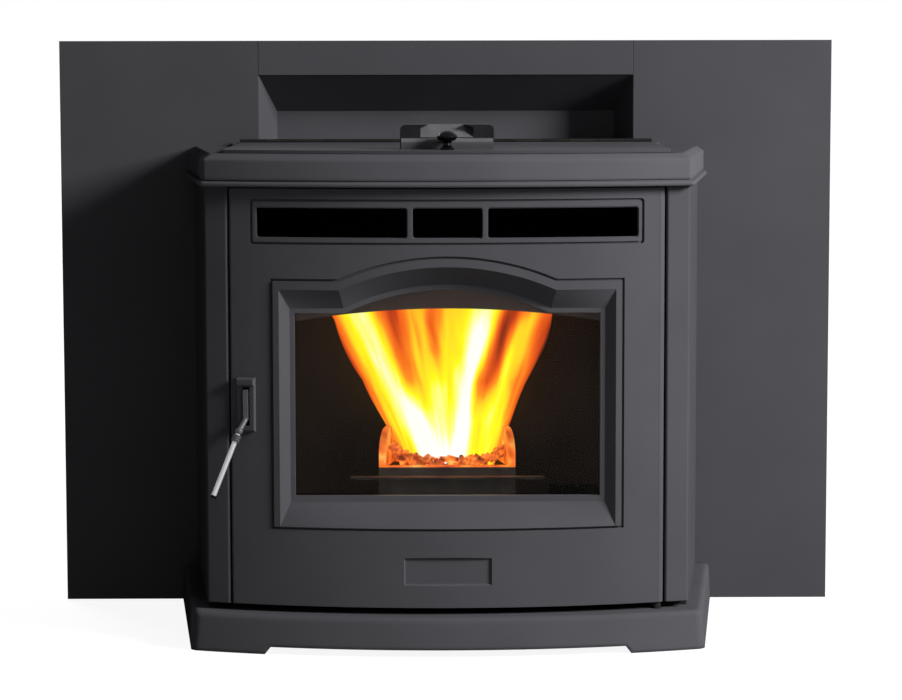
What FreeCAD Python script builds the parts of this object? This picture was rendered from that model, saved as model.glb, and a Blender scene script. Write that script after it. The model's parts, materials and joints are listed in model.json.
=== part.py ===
# Pellet fireplace insert: bowed cast-iron front in a three-panel surround, hopper above, works behind.
# Millimetres. X to the right, Y to the rear, Z up, floor at Z = 0.
# While drawing, Y = 0 is the front of the surround; the export moves everything by FRAME_SHIFT in Y,
# so that the origin lies under the middle of the whole object.
import FreeCAD, Part
import math
import os

V = FreeCAD.Vector
X_AXIS = V(1, 0, 0)
Y_AXIS = V(0, 1, 0)
Z_AXIS = V(0, 0, 1)

# Surround of sheet steel
SURROUND_WIDTH = 1041.4
SURROUND_HEIGHT = 762.0
SHEET = 2.0
SURROUND_RETURN = 19.0
PANEL_SEAM = 0.8
POCKET_WIDTH = 506.0
POCKET_DEPTH = 80.0
POCKET_TAPER = 20.2
HEADER_SHARE = 0.33455
SOFFIT_SHARE = 0.36218
PANEL_INNER_HALF = 318.0

# Bowed front, common to door, columns, top and plinth
FACE_HALF = 302.0
FACE_SAG = 48.0
FACE_DEPTH = 319.0
BODY_BACK_HALF = 341.0
COLUMN_BACK_HALF = 303.5
FRAME_Y = -300.0
FRAME_THICK = 5.0

# Heights
BASE_HEIGHT = 48.0
TOP_UNDERSIDE = 580.0
TOP_HEIGHT = 44.5
TOP_Z = TOP_UNDERSIDE + TOP_HEIGHT
RIM_DROP = 4.4
RIM_Z = TOP_Z - RIM_DROP
ABOVE_TOP = SURROUND_HEIGHT - TOP_Z
HEADER_HEIGHT = HEADER_SHARE * ABOVE_TOP
SOFFIT_DROP = SOFFIT_SHARE * ABOVE_TOP

# Door
DOOR_HALF = 270.5
DOOR_SEAM = 1.6
DOOR_GAP_BELOW = 9.0
DOOR_GAP_ABOVE = 2.0
DOOR_WALL = 9.0
DOOR_BOTTOM = BASE_HEIGHT + DOOR_GAP_BELOW
DOOR_TOP = TOP_UNDERSIDE - DOOR_GAP_ABOVE
HINGE_BARREL_R = 8.2
HINGE_PIN_R = 4.0
RUNNING_FIT = 0.05
MOVING_GAP = 0.3

# Window: a bevel runs from the bowed face down to a flat lip that carries the glass
GROOVE = (218.0, 155.0, 465.0, 135.0, 493.5)
RIM = (209.0, 157.0, 453.0, 134.0, 482.0)
LIP = (196.0, 186.5, 429.0, 129.0, 458.5)
SIGHT = (190.0, 194.0, 423.0, 126.0, 452.0)
GLASS = (204.0, 178.0, 437.0, 132.0, 466.0)
LIP_Y = -338.0
LIP_THICK = 8.0
GASKET_TAPE = 1.2
GLASS_THICK = 5.0
GROOVE_WIDTH = 3.0
GROOVE_DEEP = 3.0
RIM_RAISE = 1.8

# Vent grille in the door
VENT_HALF = 244.0
VENT_BOTTOM = 508.8
VENT_TOP = 565.0
SLOT_BOTTOM = 517.6
SLOT_TOP = 554.0
SLOT_OUTER = 236.0
SLOT_INNER = 50.0
SLOT_MIDDLE = 42.5
SLOT_REBATE = 1.2
BADGE_DEEP = 4.0
BADGE_HALF = 55.0
BADGE_BOTTOM = 85.0
BADGE_TOP = 120.0

# Fire opening and the rope gasket around it
FIRE_HALF = 205.0
FIRE_BOTTOM = 84.0
FIRE_TOP = 464.0
LAND_HALF = 224.0
LAND_BOTTOM = 70.0
LAND_TOP = 506.0
LAND_WIDTH = 11.0
ROPE_THICK = 5.7
ROPE_COMPRESSED_GAP = 0.3

# Door latch
LATCH_X = -250.0
LATCH_PIVOT_Z = 322.0
LATCH_PIVOT_Y = -2.5
LATCH_PIN_R = 1.9
LATCH_SLOT_HALF = 5.0
LATCH_LEVER_HALF = 3.2

# Hopper lid, its hinge and its knob
LID_HALF = 279.5
LID_CORNER_Y = -300.0
LID_SAG = 44.0
LID_THICK = 4.0
LID_GAP = 1.5
LID_HINGE_Y = -12.5
LID_HINGE_R = 2.8
LID_PIN_R = 1.5
TOP_PLATE = 8.0
DECK_THICK = 2.0
DECK_INSET = 56.5
KNOB_Y = -322.0
KNOB_STEM_R = 4.0
PULL_HEIGHT = 31.0
KNOB_RISE = 24.0

# Hopper, works and rear casing
HOPPER_LEFT = -182.0
HOPPER_RIGHT = 266.0
HOPPER_FRONT = -286.0
HOPPER_REAR = 180.0
FEED_Z = 200.0
FEED_TUBE_R = 30.0
FEED_BORE_R = 27.0
AUGER_R = 25.0
AUGER_SHAFT_R = 7.5
AUGER_PITCH = 45.0
CASING_HALF = 306.0
CASING_DEPTH = 280.0
COLLAR_REACH = 300.0
FIREBOX_BACK = -90.0
FIREBOX_WALL = 4.0
BLOWER_X = 170.0
BLOWER_Z = 140.0
FLUE_R = 38.1
INTAKE_R = 30.0
FAN_X0 = -250.0
FAN_X1 = -150.0
FAN_Y = 150.0
FAN_Z = 130.0

# Plinth spread at the floor, which sets how far the front reaches
PLINTH_SPREAD = 20.0
PLINTH_FLARE = 21.0
PLINTH_CORNER_Y = -343.0
PLINTH_SAG = 52.0
PLINTH_LEAN = 7.0
PLINTH_ARCH = 9.0
FRONT_REACH = PLINTH_SAG - PLINTH_CORNER_Y - (PLINTH_LEAN + 2) * PLINTH_ARCH / BASE_HEIGHT
FRAME_SHIFT = (FRONT_REACH - COLLAR_REACH) / 2

FACE_R = (FACE_HALF ** 2 + FACE_SAG ** 2) / (2 * FACE_SAG)
FACE_CENTRE_Y = FACE_R - FACE_DEPTH - FACE_SAG
DECK_TOP = TOP_Z - TOP_PLATE
DECK_BOTTOM = DECK_TOP - DECK_THICK
HINGE_X = DOOR_HALF - HINGE_BARREL_R
HINGE_Y = FACE_CENTRE_Y - math.sqrt((FACE_R - HINGE_BARREL_R) ** 2 - HINGE_X ** 2)


def face_y(x, lift=0.0):
    """Y of the bowed front face at x, raised by lift towards the front."""
    return FACE_CENTRE_Y - math.sqrt((FACE_R + lift) ** 2 - x * x)


def box(x0, x1, y0, y1, z0, z1):
    return Part.makeBox(x1 - x0, y1 - y0, z1 - z0, V(x0, y0, z0))


def rod(radius, start, end):
    axis = end - start
    return Part.makeCylinder(radius, axis.Length, start, axis)


def prism(points, direction):
    return Part.Face(Part.makePolygon(points + [points[0]])).extrude(direction)


def prism_x(points, x0, x1):
    """Extrude a (y, z) outline along X."""
    return prism([V(x0, y, z) for y, z in points], V(x1 - x0, 0, 0))


def prism_y(points, y0, y1):
    """Extrude an (x, z) outline along Y."""
    return prism([V(x, y0, z) for x, z in points], V(0, y1 - y0, 0))


def prism_z(points, z0, z1):
    """Extrude an (x, y) outline along Z."""
    return prism([V(x, y, z0) for x, y in points], V(0, 0, z1 - z0))


def fuse_all(shapes):
    result = shapes[0]
    for shape in shapes[1:]:
        result = result.fuse(shape)
    return result.removeSplitter()


def mirrored(shape):
    """The same piece on the other side of the middle plane."""
    return shape.mirror(V(0, 0, 0), X_AXIS)


def bow_wire(half, corner_y, sag, back_half, back_y, z):
    """Plan outline with a bowed front and straight flared sides."""
    left = V(-half, corner_y, z)
    right = V(half, corner_y, z)
    back_left = V(-back_half, back_y, z)
    back_right = V(back_half, back_y, z)
    return Part.Wire([
        Part.Arc(left, V(0, corner_y - sag, z), right).toShape(),
        Part.LineSegment(right, back_right).toShape(),
        Part.LineSegment(back_right, back_left).toShape(),
        Part.LineSegment(back_left, left).toShape()])


def bow_slab(half, corner_y, sag, back_half, back_y, z0, z1):
    return Part.Face(bow_wire(half, corner_y, sag, back_half, back_y, z0)).extrude(V(0, 0, z1 - z0))


def bow_loft(lower, upper):
    return Part.makeLoft([lower, upper], True, True)


def edges_where(shape, test):
    return [edge for edge in shape.Edges if test(edge)]


def front_corner(edge):
    """True for the edges that rise at the two front corners of a bowed piece."""
    first, last = edge.Vertexes[0].Point, edge.Vertexes[-1].Point
    return abs(first.z - last.z) > 1 and first.y < -100 and last.y < -100


def arch_points(size):
    """Corners and mid-points of the six edges of an arched window outline, as (x, z)."""
    half, bottom, shoulder, arch_half, apex = size
    mid_z = (bottom + shoulder) / 2
    mid_x = (half + arch_half) / 2
    corners = [(-half, bottom), (half, bottom), (half, shoulder),
               (arch_half, shoulder), (-arch_half, shoulder), (-half, shoulder)]
    middles = [(0, bottom), (half, mid_z), (mid_x, shoulder),
               (0, apex), (-mid_x, shoulder), (-half, mid_z)]
    return corners, middles


def curve(first, middle, last):
    """An arc through three points, or a line where they are in a row."""
    chord = last - first
    if (middle - first).cross(chord).Length < 1e-6 * chord.Length ** 2:
        return Part.LineSegment(first, last).toShape()
    return Part.Arc(first, middle, last).toShape()


def arch_edges(size, place):
    corners, middles = arch_points(size)
    count = len(corners)
    return [curve(place(corners[n]), place(middles[n]), place(corners[(n + 1) % count]))
            for n in range(count)]


def arch_prism(size, y0, y1):
    """The arched outline extruded from y0 to y1."""
    wire = Part.Wire(arch_edges(size, lambda p: V(p[0], y0, p[1])))
    return Part.Face(wire).extrude(V(0, y1 - y0, 0))


def widened(size, by):
    half, bottom, shoulder, arch_half, apex = size
    return (half + by, bottom - by, shoulder + by, arch_half + by * 0.4, apex + by)


def front_shell(inner, outer, z0=0.0, z1=700.0):
    """The layer between two lifts of the bowed face."""
    big = Part.makeCylinder(FACE_R + outer, z1 - z0, V(0, FACE_CENTRE_Y, z0))
    small = Part.makeCylinder(FACE_R + inner, z1 - z0, V(0, FACE_CENTRE_Y, z0))
    front = box(-FACE_HALF, FACE_HALF, -FACE_DEPTH - FACE_SAG - 20, FRAME_Y, z0, z1)
    return big.cut(small).common(front)


def bevel_tool():
    """Solid that cuts the window bevel: flat at the lip, bowed where it meets the face and beyond."""
    lip_corners, lip_middles = arch_points(LIP)
    rim_corners, rim_middles = arch_points(RIM)
    beyond = 1.35

    def at_lip(point):
        return V(point[0], LIP_Y, point[1])

    def past_face(lip_point, rim_point):
        start = at_lip(lip_point)
        on_face = V(rim_point[0], face_y(rim_point[0], RIM_RAISE), rim_point[1])
        return start + (on_face - start) * beyond

    inner = arch_edges(LIP, at_lip)
    outer = []
    count = len(lip_corners)
    for n in range(count):
        m = (n + 1) % count
        outer.append(curve(past_face(lip_corners[n], rim_corners[n]),
                           past_face(lip_middles[n], rim_middles[n]),
                           past_face(lip_corners[m], rim_corners[m])))
    faces = [Part.makeRuledSurface(a, b) for a, b in zip(inner, outer)]
    faces.append(Part.Face(Part.Wire(inner)))
    faces.append(Part.makeFilledFace(outer))
    shell = Part.makeShell(faces)
    shell.sewShape(0.05)
    solid = Part.Solid(shell if shell.ShapeType == "Shell" else shell.Shells[0])
    if solid.Volume < 0:
        solid.reverse()
    return solid


def make_plinth():
    """Cast base: bowed front with rounded corners and top edge, hollow below, cut away between its feet."""
    foot_half, top_half = FACE_HALF + PLINTH_SPREAD, FACE_HALF + PLINTH_SPREAD - 3
    foot_back, top_back = BODY_BACK_HALF + PLINTH_FLARE, BODY_BACK_HALF + PLINTH_FLARE - 2
    top_y, top_sag = PLINTH_CORNER_Y + PLINTH_LEAN, PLINTH_SAG - 2
    lower = bow_wire(foot_half, PLINTH_CORNER_Y, PLINTH_SAG, foot_back, 0, 0)
    upper = bow_wire(top_half, top_y, top_sag, top_back, 0, BASE_HEIGHT)
    outer = bow_loft(lower, upper)
    outer = outer.makeFillet(14.0, edges_where(outer, front_corner))

    def front_top(edge):
        box_of = edge.BoundBox
        return box_of.ZMin > BASE_HEIGHT - 0.1 and box_of.YMin < -10
    outer = outer.makeFillet(7.0, edges_where(outer, front_top))
    wall = 8.0
    deck = BASE_HEIGHT - wall
    low_in = bow_wire(foot_half - wall, PLINTH_CORNER_Y + wall, PLINTH_SAG, foot_back - wall, 1, -1)
    high_in = bow_wire(top_half - wall, top_y + wall, top_sag, top_back - wall, 1, deck)
    body = outer.cut(bow_loft(low_in, high_in))
    arch = prism_y([(-229, -1), (-221, PLINTH_ARCH), (221, PLINTH_ARCH), (229, -1)],
                   -FRONT_REACH - 10, PLINTH_CORNER_Y + 40)
    body = body.cut(arch)
    pin_hole = Part.makeCylinder(HINGE_PIN_R + RUNNING_FIT, wall + 2, V(HINGE_X, HINGE_Y, deck - 1))
    return body.cut(pin_hole)


def make_top():
    """Cast top: bead, fascia, sloped edge and low rim, a rib for the lid hinge, hollow below."""
    corner_y = -FACE_DEPTH - 12
    back = BODY_BACK_HALF + 8
    groove_z = TOP_UNDERSIDE + 7.5
    fascia_top = TOP_UNDERSIDE + 34.5

    def outline(offset, z):
        return bow_wire(FACE_HALF + 1 + offset, corner_y - offset, FACE_SAG, back + offset, 0, z)

    def layer(offset, z0, z1):
        return Part.Face(outline(offset, z0)).extrude(V(0, 0, z1 - z0))

    bead = layer(4.0, TOP_UNDERSIDE, groove_z - 1)
    bead = bead.makeFillet(7.0, edges_where(bead, front_corner))

    def bead_rim(edge):
        return edge.BoundBox.YMin < -10 and edge.BoundBox.ZLength < 0.1
    bead = bead.makeFillet(2.6, edges_where(bead, bead_rim))
    neck = layer(-1.4, groove_z - 1, groove_z + 1)
    ease_low, ease_high = fascia_top - 2.0, fascia_top + 0.2
    fascia = layer(0.0, groove_z + 1, ease_low)
    ease = bow_loft(outline(0.0, ease_low), outline(-1.8, ease_high))
    slope = bow_loft(outline(-1.8, ease_high), outline(-10.0, RIM_Z))
    upper = fuse_all([fascia, ease, slope])
    upper = upper.makeFillet(5.0, edges_where(upper, front_corner))
    rib_half = LID_HALF + 8.5
    rib = box(-rib_half, rib_half, LID_HINGE_Y - LID_GAP, 0, RIM_Z - 1, TOP_Z)
    body = fuse_all([bead, neck, upper, rib])
    rim = 14.0
    cavity = layer(-rim, TOP_UNDERSIDE - 1, DECK_TOP)
    body = body.cut(cavity)
    boss = box(HINGE_X - 14, HINGE_X + 12, corner_y - 20, HINGE_Y + 12, TOP_UNDERSIDE, TOP_UNDERSIDE + 24)
    inside = layer(-4.0, TOP_UNDERSIDE, DECK_TOP)
    body = body.fuse(boss.common(inside))
    opening = bow_slab(LID_HALF + LID_GAP, LID_CORNER_Y - LID_GAP, LID_SAG, LID_HALF + LID_GAP,
                       LID_HINGE_Y - LID_GAP, DECK_TOP - 1, TOP_Z + 1)
    pin_hole = Part.makeCylinder(HINGE_PIN_R + RUNNING_FIT, 22, V(HINGE_X, HINGE_Y, TOP_UNDERSIDE - 1))
    return body.cut(opening).cut(pin_hole).removeSplitter()


def make_column():
    """Right column: the bowed front continued to the outer corner, its foot level with the door."""
    inner = DOOR_HALF + DOOR_SEAM
    middle = (inner + FACE_HALF) / 2
    front = Part.Arc(V(inner, face_y(inner), 0), V(middle, face_y(middle), 0),
                     V(FACE_HALF, face_y(FACE_HALF), 0)).toShape()
    rest = Part.makePolygon([V(FACE_HALF, face_y(FACE_HALF), 0), V(COLUMN_BACK_HALF, FRAME_Y, 0),
                             V(inner, FRAME_Y, 0), V(inner, face_y(inner), 0)])
    body = Part.Face(Part.Wire([front] + rest.Edges)).extrude(V(0, 0, TOP_UNDERSIDE - DOOR_BOTTOM))
    body.translate(V(0, 0, DOOR_BOTTOM))

    def upright_front(edge):
        limits = edge.BoundBox
        return limits.ZLength > 100 and limits.YMax < FRAME_Y - 10
    return body.makeFillet(3.0, edges_where(body, upright_front))


def make_side_panel():
    """Right side panel, flared from the column to the surround."""
    outline = [(COLUMN_BACK_HALF, FRAME_Y), (BODY_BACK_HALF, 0),
               (BODY_BACK_HALF - SHEET, 0), (COLUMN_BACK_HALF - SHEET, FRAME_Y)]
    return prism_z(outline, BASE_HEIGHT, TOP_UNDERSIDE)


def make_front_frame():
    half = COLUMN_BACK_HALF - SHEET
    plate = box(-half, half, FRAME_Y, FRAME_Y + FRAME_THICK, BASE_HEIGHT, TOP_UNDERSIDE)
    fire = box(-FIRE_HALF, FIRE_HALF, FRAME_Y - 1, FRAME_Y + FRAME_THICK + 1, FIRE_BOTTOM, FIRE_TOP)
    vent = box(-SLOT_OUTER - 4, SLOT_OUTER + 4, FRAME_Y - 1, FRAME_Y + FRAME_THICK + 1,
               SLOT_BOTTOM - 7, SLOT_TOP + 6)
    return plate.cut(fire).cut(vent)


def badge_recess():
    """Shallow tray for a plate, flat at its floor, with walls that slope outward."""
    floor_y = face_y(0) + BADGE_DEEP
    layers = []
    for y, grow in ((floor_y, -2.0), (floor_y - 6.0, 1.5)):
        half, low, high = BADGE_HALF + grow, BADGE_BOTTOM - grow, BADGE_TOP + grow
        layers.append(Part.makePolygon([V(-half, y, low), V(half, y, low), V(half, y, high),
                                        V(-half, y, high), V(-half, y, low)]))
    return Part.makeLoft(layers, True, True)


def make_door():
    """Door casting: bowed plate, window frame with bevel, vent grille, gasket land and skirt."""
    right = HINGE_X
    left = -DOOR_HALF

    def arc_points(lift):
        middle = (left + right) / 2
        return [V(x, face_y(x, lift), DOOR_BOTTOM) for x in (left, middle, right)]
    outer = arc_points(0.0)
    inner = arc_points(-DOOR_WALL)
    plan = Part.Wire([Part.Arc(*outer).toShape(), Part.LineSegment(outer[2], inner[2]).toShape(),
                      Part.Arc(inner[2], inner[1], inner[0]).toShape(),
                      Part.LineSegment(inner[0], outer[0]).toShape()])
    height = DOOR_TOP - DOOR_BOTTOM
    plate = Part.Face(plan).extrude(V(0, 0, height))

    def left_front(edge):
        limits = edge.BoundBox
        return limits.ZLength > 100 and limits.XMax < left + 0.1 and limits.YMin < outer[0].y + 0.1
    plate = plate.makeFillet(3.0, edges_where(plate, left_front))
    barrel = Part.makeCylinder(HINGE_BARREL_R, height, V(HINGE_X, HINGE_Y, DOOR_BOTTOM))
    within = Part.makeCylinder(FACE_R, height, V(0, FACE_CENTRE_Y, DOOR_BOTTOM))
    skirt_back = FRAME_Y - 9
    skirt = 6.0
    block = box(left, right, -FACE_DEPTH - FACE_SAG, skirt_back, DOOR_BOTTOM, DOOR_TOP)
    hollow = box(left + skirt, right + 1, -FACE_DEPTH - FACE_SAG - 1, skirt_back + 1,
                 DOOR_BOTTOM + skirt, DOOR_TOP - skirt)
    skirts = block.cut(hollow).common(within)
    skirts = skirts.cut(box(left - 1, left + skirt, -FACE_DEPTH - FACE_SAG, face_y(left) + 4,
                            DOOR_BOTTOM - 1, DOOR_TOP + 1))
    land_back = FRAME_Y - ROPE_COMPRESSED_GAP - ROPE_THICK
    land = box(-LAND_HALF, LAND_HALF, -FACE_DEPTH - FACE_SAG, land_back, LAND_BOTTOM, LAND_TOP)
    land = land.cut(box(-LAND_HALF + LAND_WIDTH, LAND_HALF - LAND_WIDTH, -FACE_DEPTH - FACE_SAG - 1,
                        land_back + 1, LAND_BOTTOM + LAND_WIDTH, LAND_TOP - LAND_WIDTH)).common(within)
    raised = Part.makeCylinder(FACE_R + RIM_RAISE, height, V(0, FACE_CENTRE_Y, DOOR_BOTTOM))
    frame_back = LIP_Y + LIP_THICK
    ring = widened(GROOVE, -GROOVE_WIDTH / 2)
    window = arch_prism(ring, -FACE_DEPTH - FACE_SAG - 10, frame_back).common(raised)
    body = fuse_all([plate, barrel, skirts, land, window])
    body = body.cut(bevel_tool())
    body = body.cut(arch_prism(SIGHT, -FACE_DEPTH - FACE_SAG - 10, FRAME_Y))
    groove = arch_prism(widened(GROOVE, GROOVE_WIDTH / 2), -FACE_DEPTH - FACE_SAG - 10, FRAME_Y)
    groove = groove.cut(arch_prism(ring, -FACE_DEPTH - FACE_SAG - 11, FRAME_Y + 1))
    body = body.cut(groove.common(front_shell(-GROOVE_DEEP, 5)))
    def vent_block(inset, radius):
        half = VENT_HALF - inset
        block = box(-half, half, -400, FRAME_Y, VENT_BOTTOM + inset, VENT_TOP - inset)
        return block.makeFillet(radius, edges_where(block, lambda e: e.BoundBox.YLength > 20))
    vent_groove = vent_block(0.0, 4.0).cut(vent_block(GROOVE_WIDTH, 2.5))
    body = body.cut(vent_groove.common(front_shell(-GROOVE_DEEP, 5)))
    for x0, x1 in ((-SLOT_OUTER, -SLOT_INNER), (-SLOT_MIDDLE, SLOT_MIDDLE), (SLOT_INNER, SLOT_OUTER)):
        slot = box(x0, x1, -400, face_y(0) + 45, SLOT_BOTTOM, SLOT_TOP)
        slot = slot.makeFillet(3.0, edges_where(slot, lambda e: e.BoundBox.YLength > 20))
        rebate = box(x0 - SLOT_REBATE, x1 + SLOT_REBATE, -400, FRAME_Y, SLOT_BOTTOM - SLOT_REBATE,
                     SLOT_TOP + SLOT_REBATE)
        rebate = rebate.makeFillet(4.2, edges_where(rebate, lambda e: e.BoundBox.YLength > 20))
        body = body.cut(rebate.common(front_shell(-SLOT_REBATE, 5)))
        body = body.cut(slot)
    body = body.cut(badge_recess())
    latch_slot = box(-LATCH_SLOT_HALF, LATCH_SLOT_HALF, -8, DOOR_WALL + 4,
                     LATCH_PIVOT_Z - 40, LATCH_PIVOT_Z + 10)
    body = body.cut(latch_place(latch_slot))
    for x, y, z in clip_spots():
        body = body.cut(Part.makeCylinder(1.95, 6.5, V(x, frame_back - 6.5, z), Y_AXIS))
    bore = Part.makeCylinder(HINGE_PIN_R + RUNNING_FIT, 20, V(HINGE_X, HINGE_Y, DOOR_BOTTOM - 1))
    bore_top = Part.makeCylinder(HINGE_PIN_R + RUNNING_FIT, 20, V(HINGE_X, HINGE_Y, DOOR_TOP - 19))
    return body.cut(bore).cut(bore_top).removeSplitter()


def latch_place(shape):
    """Move a piece drawn square to the latch onto the bowed face at LATCH_X."""
    angle = math.degrees(math.asin(LATCH_X / FACE_R))
    moved = shape.copy()
    moved.Placement = FreeCAD.Placement(V(LATCH_X, face_y(LATCH_X), 0), FreeCAD.Rotation(Z_AXIS, angle))
    return moved


def clip_spots():
    """Six places on the back of the window frame for the glass clips."""
    back = LIP_Y + LIP_THICK
    side = GLASS[0] + 4.5
    heights = (210.0, 305.0, 400.0)
    return [(s * side, back, z) for s in (-1, 1) for z in heights]


def make_glass():
    front = LIP_Y + LIP_THICK + GASKET_TAPE
    return arch_prism(GLASS, front, front + GLASS_THICK)


def make_glass_gasket():
    front = LIP_Y + LIP_THICK
    ring = arch_prism(GLASS, front, front + GASKET_TAPE)
    return ring.cut(arch_prism(widened(SIGHT, 2.0), front - 1, front + GASKET_TAPE + 1))


def make_clip(x, y, z):
    """Stepped clip: a foot on the window frame and a tongue over the glass."""
    side = 1 if x > 0 else -1
    rise = GASKET_TAPE + GLASS_THICK
    foot_in = side * (GLASS[0] + 0.5)
    foot_out = side * (GLASS[0] + 8.5)
    tongue = side * (GLASS[0] - 8.0)
    foot = box(min(foot_in, foot_out), max(foot_in, foot_out), y, y + rise + SHEET, z - 10, z + 10)
    plate = box(min(tongue, foot_out), max(tongue, foot_out), y + rise, y + rise + SHEET, z - 10, z + 10)
    hole = Part.makeCylinder(2.0, rise + SHEET + 2, V(x, y - 1, z), Y_AXIS)
    return foot.fuse(plate).removeSplitter().cut(hole)


def make_clip_screw(x, y, z):
    seat = y + GASKET_TAPE + GLASS_THICK + SHEET
    shank = Part.makeCylinder(1.9, seat - y + 6, V(x, y - 6, z), Y_AXIS)
    head = Part.makeCylinder(3.6, 2.4, V(x, seat, z), Y_AXIS)
    return shank.fuse(head)


def make_rope():
    y1 = FRAME_Y - ROPE_COMPRESSED_GAP
    y0 = y1 - ROPE_THICK
    ring = box(-LAND_HALF + 1, LAND_HALF - 1, y0, y1, LAND_BOTTOM + 1, LAND_TOP - 1)
    inset = LAND_WIDTH - 1
    ring = ring.cut(box(-LAND_HALF + inset, LAND_HALF - inset, y0 - 1, y1 + 1,
                        LAND_BOTTOM + inset, LAND_TOP - inset))
    return ring.makeFillet(2.0, edges_where(ring, lambda e: e.BoundBox.YMin > y1 - 0.1))


def make_escutcheon():
    """Slotted cover plate of the latch with its pivot pin, drawn square to the latch."""
    low, high = LATCH_PIVOT_Z - 46.5, LATCH_PIVOT_Z + 21
    slot_low, slot_high = LATCH_PIVOT_Z - 39, LATCH_PIVOT_Z + 9
    plate = box(-11.75, 11.75, -5, 0, low, high)
    plate = plate.makeFillet(2.0, edges_where(plate, lambda e: e.BoundBox.YMax < -4.9))
    bar = box(-11.75, 11.75, -9, -4, slot_high + 2, high - 1)
    bar = bar.makeFillet(2.0, edges_where(bar, lambda e: e.BoundBox.YMax < -8.9))
    body = plate.fuse(bar).cut(box(-LATCH_SLOT_HALF, LATCH_SLOT_HALF, -20, 1, slot_low, slot_high))
    pin = Part.makeCylinder(LATCH_PIN_R, 2 * LATCH_SLOT_HALF + 6,
                            V(-LATCH_SLOT_HALF - 3, LATCH_PIVOT_Y, LATCH_PIVOT_Z), X_AXIS)
    return latch_place(body.fuse(pin).removeSplitter())


LATCH_ELBOW = V(0, -3.4, LATCH_PIVOT_Z - 30)
LATCH_NECK = V(-5.5, -15, LATCH_PIVOT_Z - 45)
LATCH_TIP = V(-32.8, -38.8, LATCH_PIVOT_Z - 126.8)


def along_grip(distance):
    """Point on the line of the grip rod, measured from its upper end."""
    direction = (LATCH_TIP - LATCH_NECK).normalize()
    return LATCH_NECK + direction * distance


def make_lever():
    """Latch lever: arm in the slot, shank through the door with a hook, bent end for the grip."""
    top = LATCH_PIVOT_Z + 6
    profile = [(-6.5, top), (1.2, top), (1.2, LATCH_PIVOT_Z - 2), (24, LATCH_PIVOT_Z - 2),
               (24, LATCH_PIVOT_Z + 3), (30, LATCH_PIVOT_Z + 3), (30, LATCH_PIVOT_Z - 9),
               (1.2, LATCH_PIVOT_Z - 9), (1.2, LATCH_PIVOT_Z - 30), (-6.5, LATCH_PIVOT_Z - 33)]
    arm = prism_x(profile, -LATCH_LEVER_HALF, LATCH_LEVER_HALF)
    bore = Part.makeCylinder(LATCH_PIN_R + RUNNING_FIT, 20, V(-10, LATCH_PIVOT_Y, LATCH_PIVOT_Z), X_AXIS)
    elbow = Part.makeSphere(3.6, LATCH_ELBOW)
    neck = rod(3.4, LATCH_ELBOW, LATCH_NECK)
    socket = Part.makeSphere(4.8, LATCH_NECK)
    seat = rod(3.2 + RUNNING_FIT, LATCH_NECK, along_grip(10.0))
    return latch_place(fuse_all([arm, elbow, neck, socket]).cut(bore).cut(seat))


def make_ferrule():
    body = rod(5.2, along_grip(5.0), along_grip(14.0))
    for step in (6.2, 8.8, 11.4):
        ring = rod(6.5, along_grip(step + 0.6), along_grip(step + 1.4))
        body = body.cut(ring.cut(rod(4.5, along_grip(step), along_grip(step + 2.0))))
    return latch_place(body.cut(rod(3.25, along_grip(0.0), along_grip(15.0))))


def grip_length():
    return (LATCH_TIP - LATCH_NECK).Length


def make_grip():
    return latch_place(rod(3.2, LATCH_NECK, along_grip(grip_length() - 1.5)))


def make_end_cap():
    end = grip_length()
    body = rod(4.4, along_grip(end - 4.0), along_grip(end))
    bore = rod(3.25, along_grip(end - 5.0), along_grip(end - 1.4))
    return latch_place(body.cut(bore))


def make_keeper():
    """Keeper on the front frame: base, two cheeks and the bar above the hook of the lever."""
    low = LATCH_PIVOT_Z + 3 + 0.5
    base = box(-262, -230, FRAME_Y - 2.5, FRAME_Y, LATCH_PIVOT_Z - 5, LATCH_PIVOT_Z + 24)
    cheeks = [box(x, x + 4, FRAME_Y - 19, FRAME_Y, LATCH_PIVOT_Z, LATCH_PIVOT_Z + 18) for x in (-259, -235)]
    bar = box(-256, -234, FRAME_Y - 19, FRAME_Y - 12, low, low + 8)
    return fuse_all([base, bar] + cheeks)


def make_hinge_pins():
    lower = Part.makeCylinder(HINGE_PIN_R, 34, V(HINGE_X, HINGE_Y, BASE_HEIGHT - 8))
    upper = Part.makeCylinder(HINGE_PIN_R, 36, V(HINGE_X, HINGE_Y, DOOR_TOP - 17))
    return Part.makeCompound([lower, upper])


def make_hinge_washer():
    height = DOOR_GAP_BELOW - RUNNING_FIT
    ring = Part.makeCylinder(HINGE_BARREL_R - 2.4, height, V(HINGE_X, HINGE_Y, BASE_HEIGHT))
    return ring.cut(Part.makeCylinder(HINGE_PIN_R + RUNNING_FIT, height + 2,
                                      V(HINGE_X, HINGE_Y, BASE_HEIGHT - 1)))


def make_surround_side():
    """Right surround panel: L-shaped sheet with returns along its outer and top edges."""
    outer = SURROUND_WIDTH / 2
    inner = POCKET_WIDTH / 2 + PANEL_SEAM / 2
    step = DECK_TOP
    outline = [(PANEL_INNER_HALF, 0), (outer, 0), (outer, SURROUND_HEIGHT), (inner, SURROUND_HEIGHT),
               (inner, step), (PANEL_INNER_HALF, step)]
    sheet = prism_y(outline, 0, SHEET)
    side = box(outer - SHEET, outer, SHEET, SURROUND_RETURN, 0, SURROUND_HEIGHT)
    upper = box(inner, outer, SHEET, SURROUND_RETURN, SURROUND_HEIGHT - SHEET, SURROUND_HEIGHT)
    return fuse_all([sheet, side, upper])


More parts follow.
